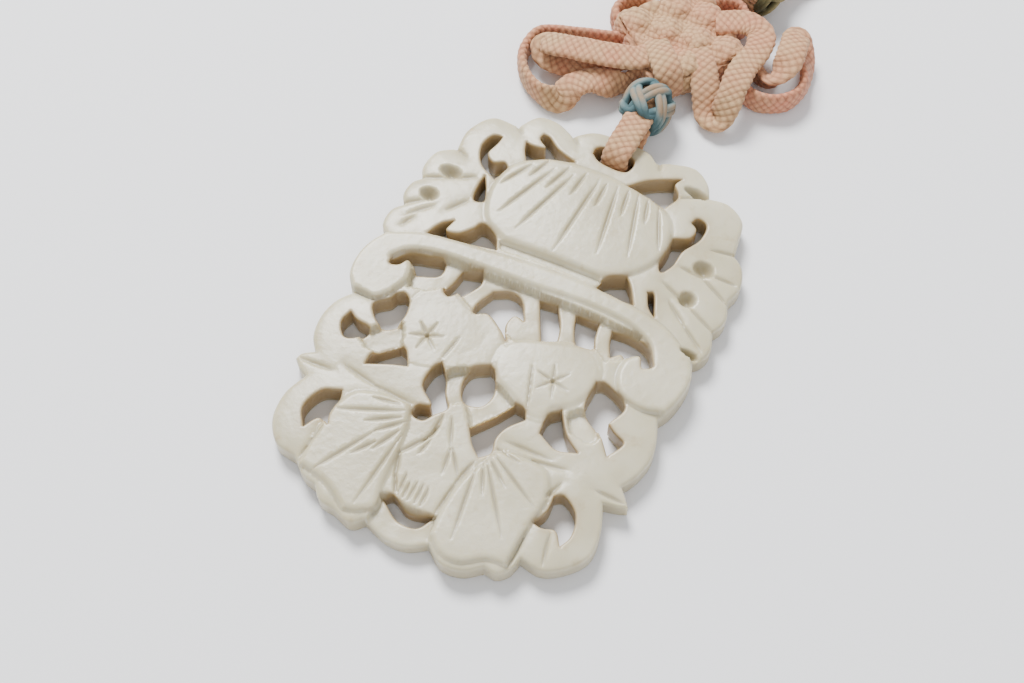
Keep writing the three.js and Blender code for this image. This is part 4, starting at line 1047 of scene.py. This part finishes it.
def make_camera():
    """The camera where the photo was taken from, as estimated from the photo's perspective."""
    right, up = Vector(PHOTO_RIGHT), Vector(PHOTO_UP)
    back = right.cross(up)
    data = bpy.data.cameras.new("photo_angle")
    data.lens = PHOTO_LENS
    data.sensor_width = 36
    data.clip_start = 0.01
    camera = bpy.data.objects.new("photo_angle", data)
    bpy.context.scene.collection.objects.link(camera)
    axes = Matrix((right, up, back)).transposed().to_4x4()
    eye = (PHOTO_EYE[0] + PLAN_SHIFT[0], PHOTO_EYE[1] + PLAN_SHIFT[1], PHOTO_EYE[2])
    camera.matrix_world = Matrix.Translation(Vector(eye) * MM) @ axes
    bpy.context.scene.camera = camera
    return camera


def light(name, place, target, size, power):
    """A soft round lamp that faces its target."""
    data = bpy.data.lights.new(name, "AREA")
    data.shape = "DISK"
    data.size = size
    data.energy = power
    lamp = bpy.data.objects.new(name, data)
    lamp.location = place
    lamp.rotation_euler = (Vector(target) - Vector(place)).to_track_quat("-Z", "Y").to_euler()
    bpy.context.scene.collection.objects.link(lamp)
    return lamp


def set_stage():
    bpy.ops.mesh.primitive_plane_add(size=4, location=(0, 0, -0.00005))
    floor = bpy.context.object
    floor.name = "pale_floor"
    material, _, shader = new_material("pale_paper")
    shader.inputs["Base Color"].default_value = (*linear((238, 238, 240)), 1)
    shader.inputs["Roughness"].default_value = 0.9
    shader.inputs["Specular IOR Level"].default_value = 0.1
    paint(floor, material)
    key = light("key_light", (-0.35, 0.35, 0.62), LIT_PLACE, 0.32, 13)
    fill = light("fill_light", (0.5, -0.5, 0.7), LIT_PLACE, 0.9, 3)
    world = bpy.data.worlds.new("studio")
    world.use_nodes = True
    world.node_tree.nodes["Background"].inputs["Color"].default_value = (0.95, 0.97, 1, 1)
    world.node_tree.nodes["Background"].inputs["Strength"].default_value = 0.75
    bpy.context.scene.world = world


# ---------------------------------------------------------------- making everything
make_camera()
blue = bead("blue_bead_knot", "bead_knot_blue", (0.4, 42.4, 4.4), 0)
olive = bead("olive_bead_knot", "bead_knot_olive", (7, 72.4, 4.4), -22)
knot = woven_knot()
silk = [
    cord_piece("silk_hanging_loop", "hanging_loop", HANGING_LOOP, [(0, 0.15), (0.5, 0.1), (1, 0.4)],
               far_end="knot", with_pieces=[blue, knot]),
    cord_piece("silk_ear_left_upper", "ear_loop_left_upper", EAR_LEFT_UPPER,
               [(0, 0.4), (0.3, 0.45), (0.45, 0.1), (0.6, 0.3), (1, 0.9)], far_end="object"),
    cord_piece("silk_ear_left_lower", "ear_loop_left_lower", EAR_LEFT_LOWER,
               [(0, 0.9), (0.3, 0.8), (0.5, 0.4), (0.65, 0.15), (0.8, 0.5), (1, 0.6)], far_end="object"),
    cord_piece("silk_ear_right_lower", "ear_loop_right_lower", EAR_RIGHT_LOWER,
               [(0, 0.3), (0.3, 0.15), (0.6, 0.15), (0.75, 0.5), (1, 0.6)], far_end="object"),
    cord_piece("silk_ear_right_upper", "ear_loop_right_upper", EAR_RIGHT_UPPER,
               [(0, 0.7), (0.3, 0.9), (0.5, 0.8), (0.58, 0.1), (0.68, 0.15), (0.8, 0.6), (1, 0.7)],
               far_end="object"),
    cord_piece("silk_hanger", "hanger_loop", HANGER, [(0, 0.2), (0.3, 0.1), (0.7, 0.2), (1, 0.4)],
               far_end="object", with_pieces=[olive]),
]
plaque = carve_plaque()
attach(plaque, "root")
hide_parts("jade_plaque")

paint(plaque, jade_material())
silk_look = silk_material()
for piece in silk + [knot]:
    paint(piece, silk_look)
paint(blue, bead_material("blue_cord", (72, 96, 100), (112, 128, 126), (148, 124, 98)))
paint(olive, bead_material("olive_cord", (66, 62, 40), (104, 98, 66), (138, 124, 86)))
set_stage()
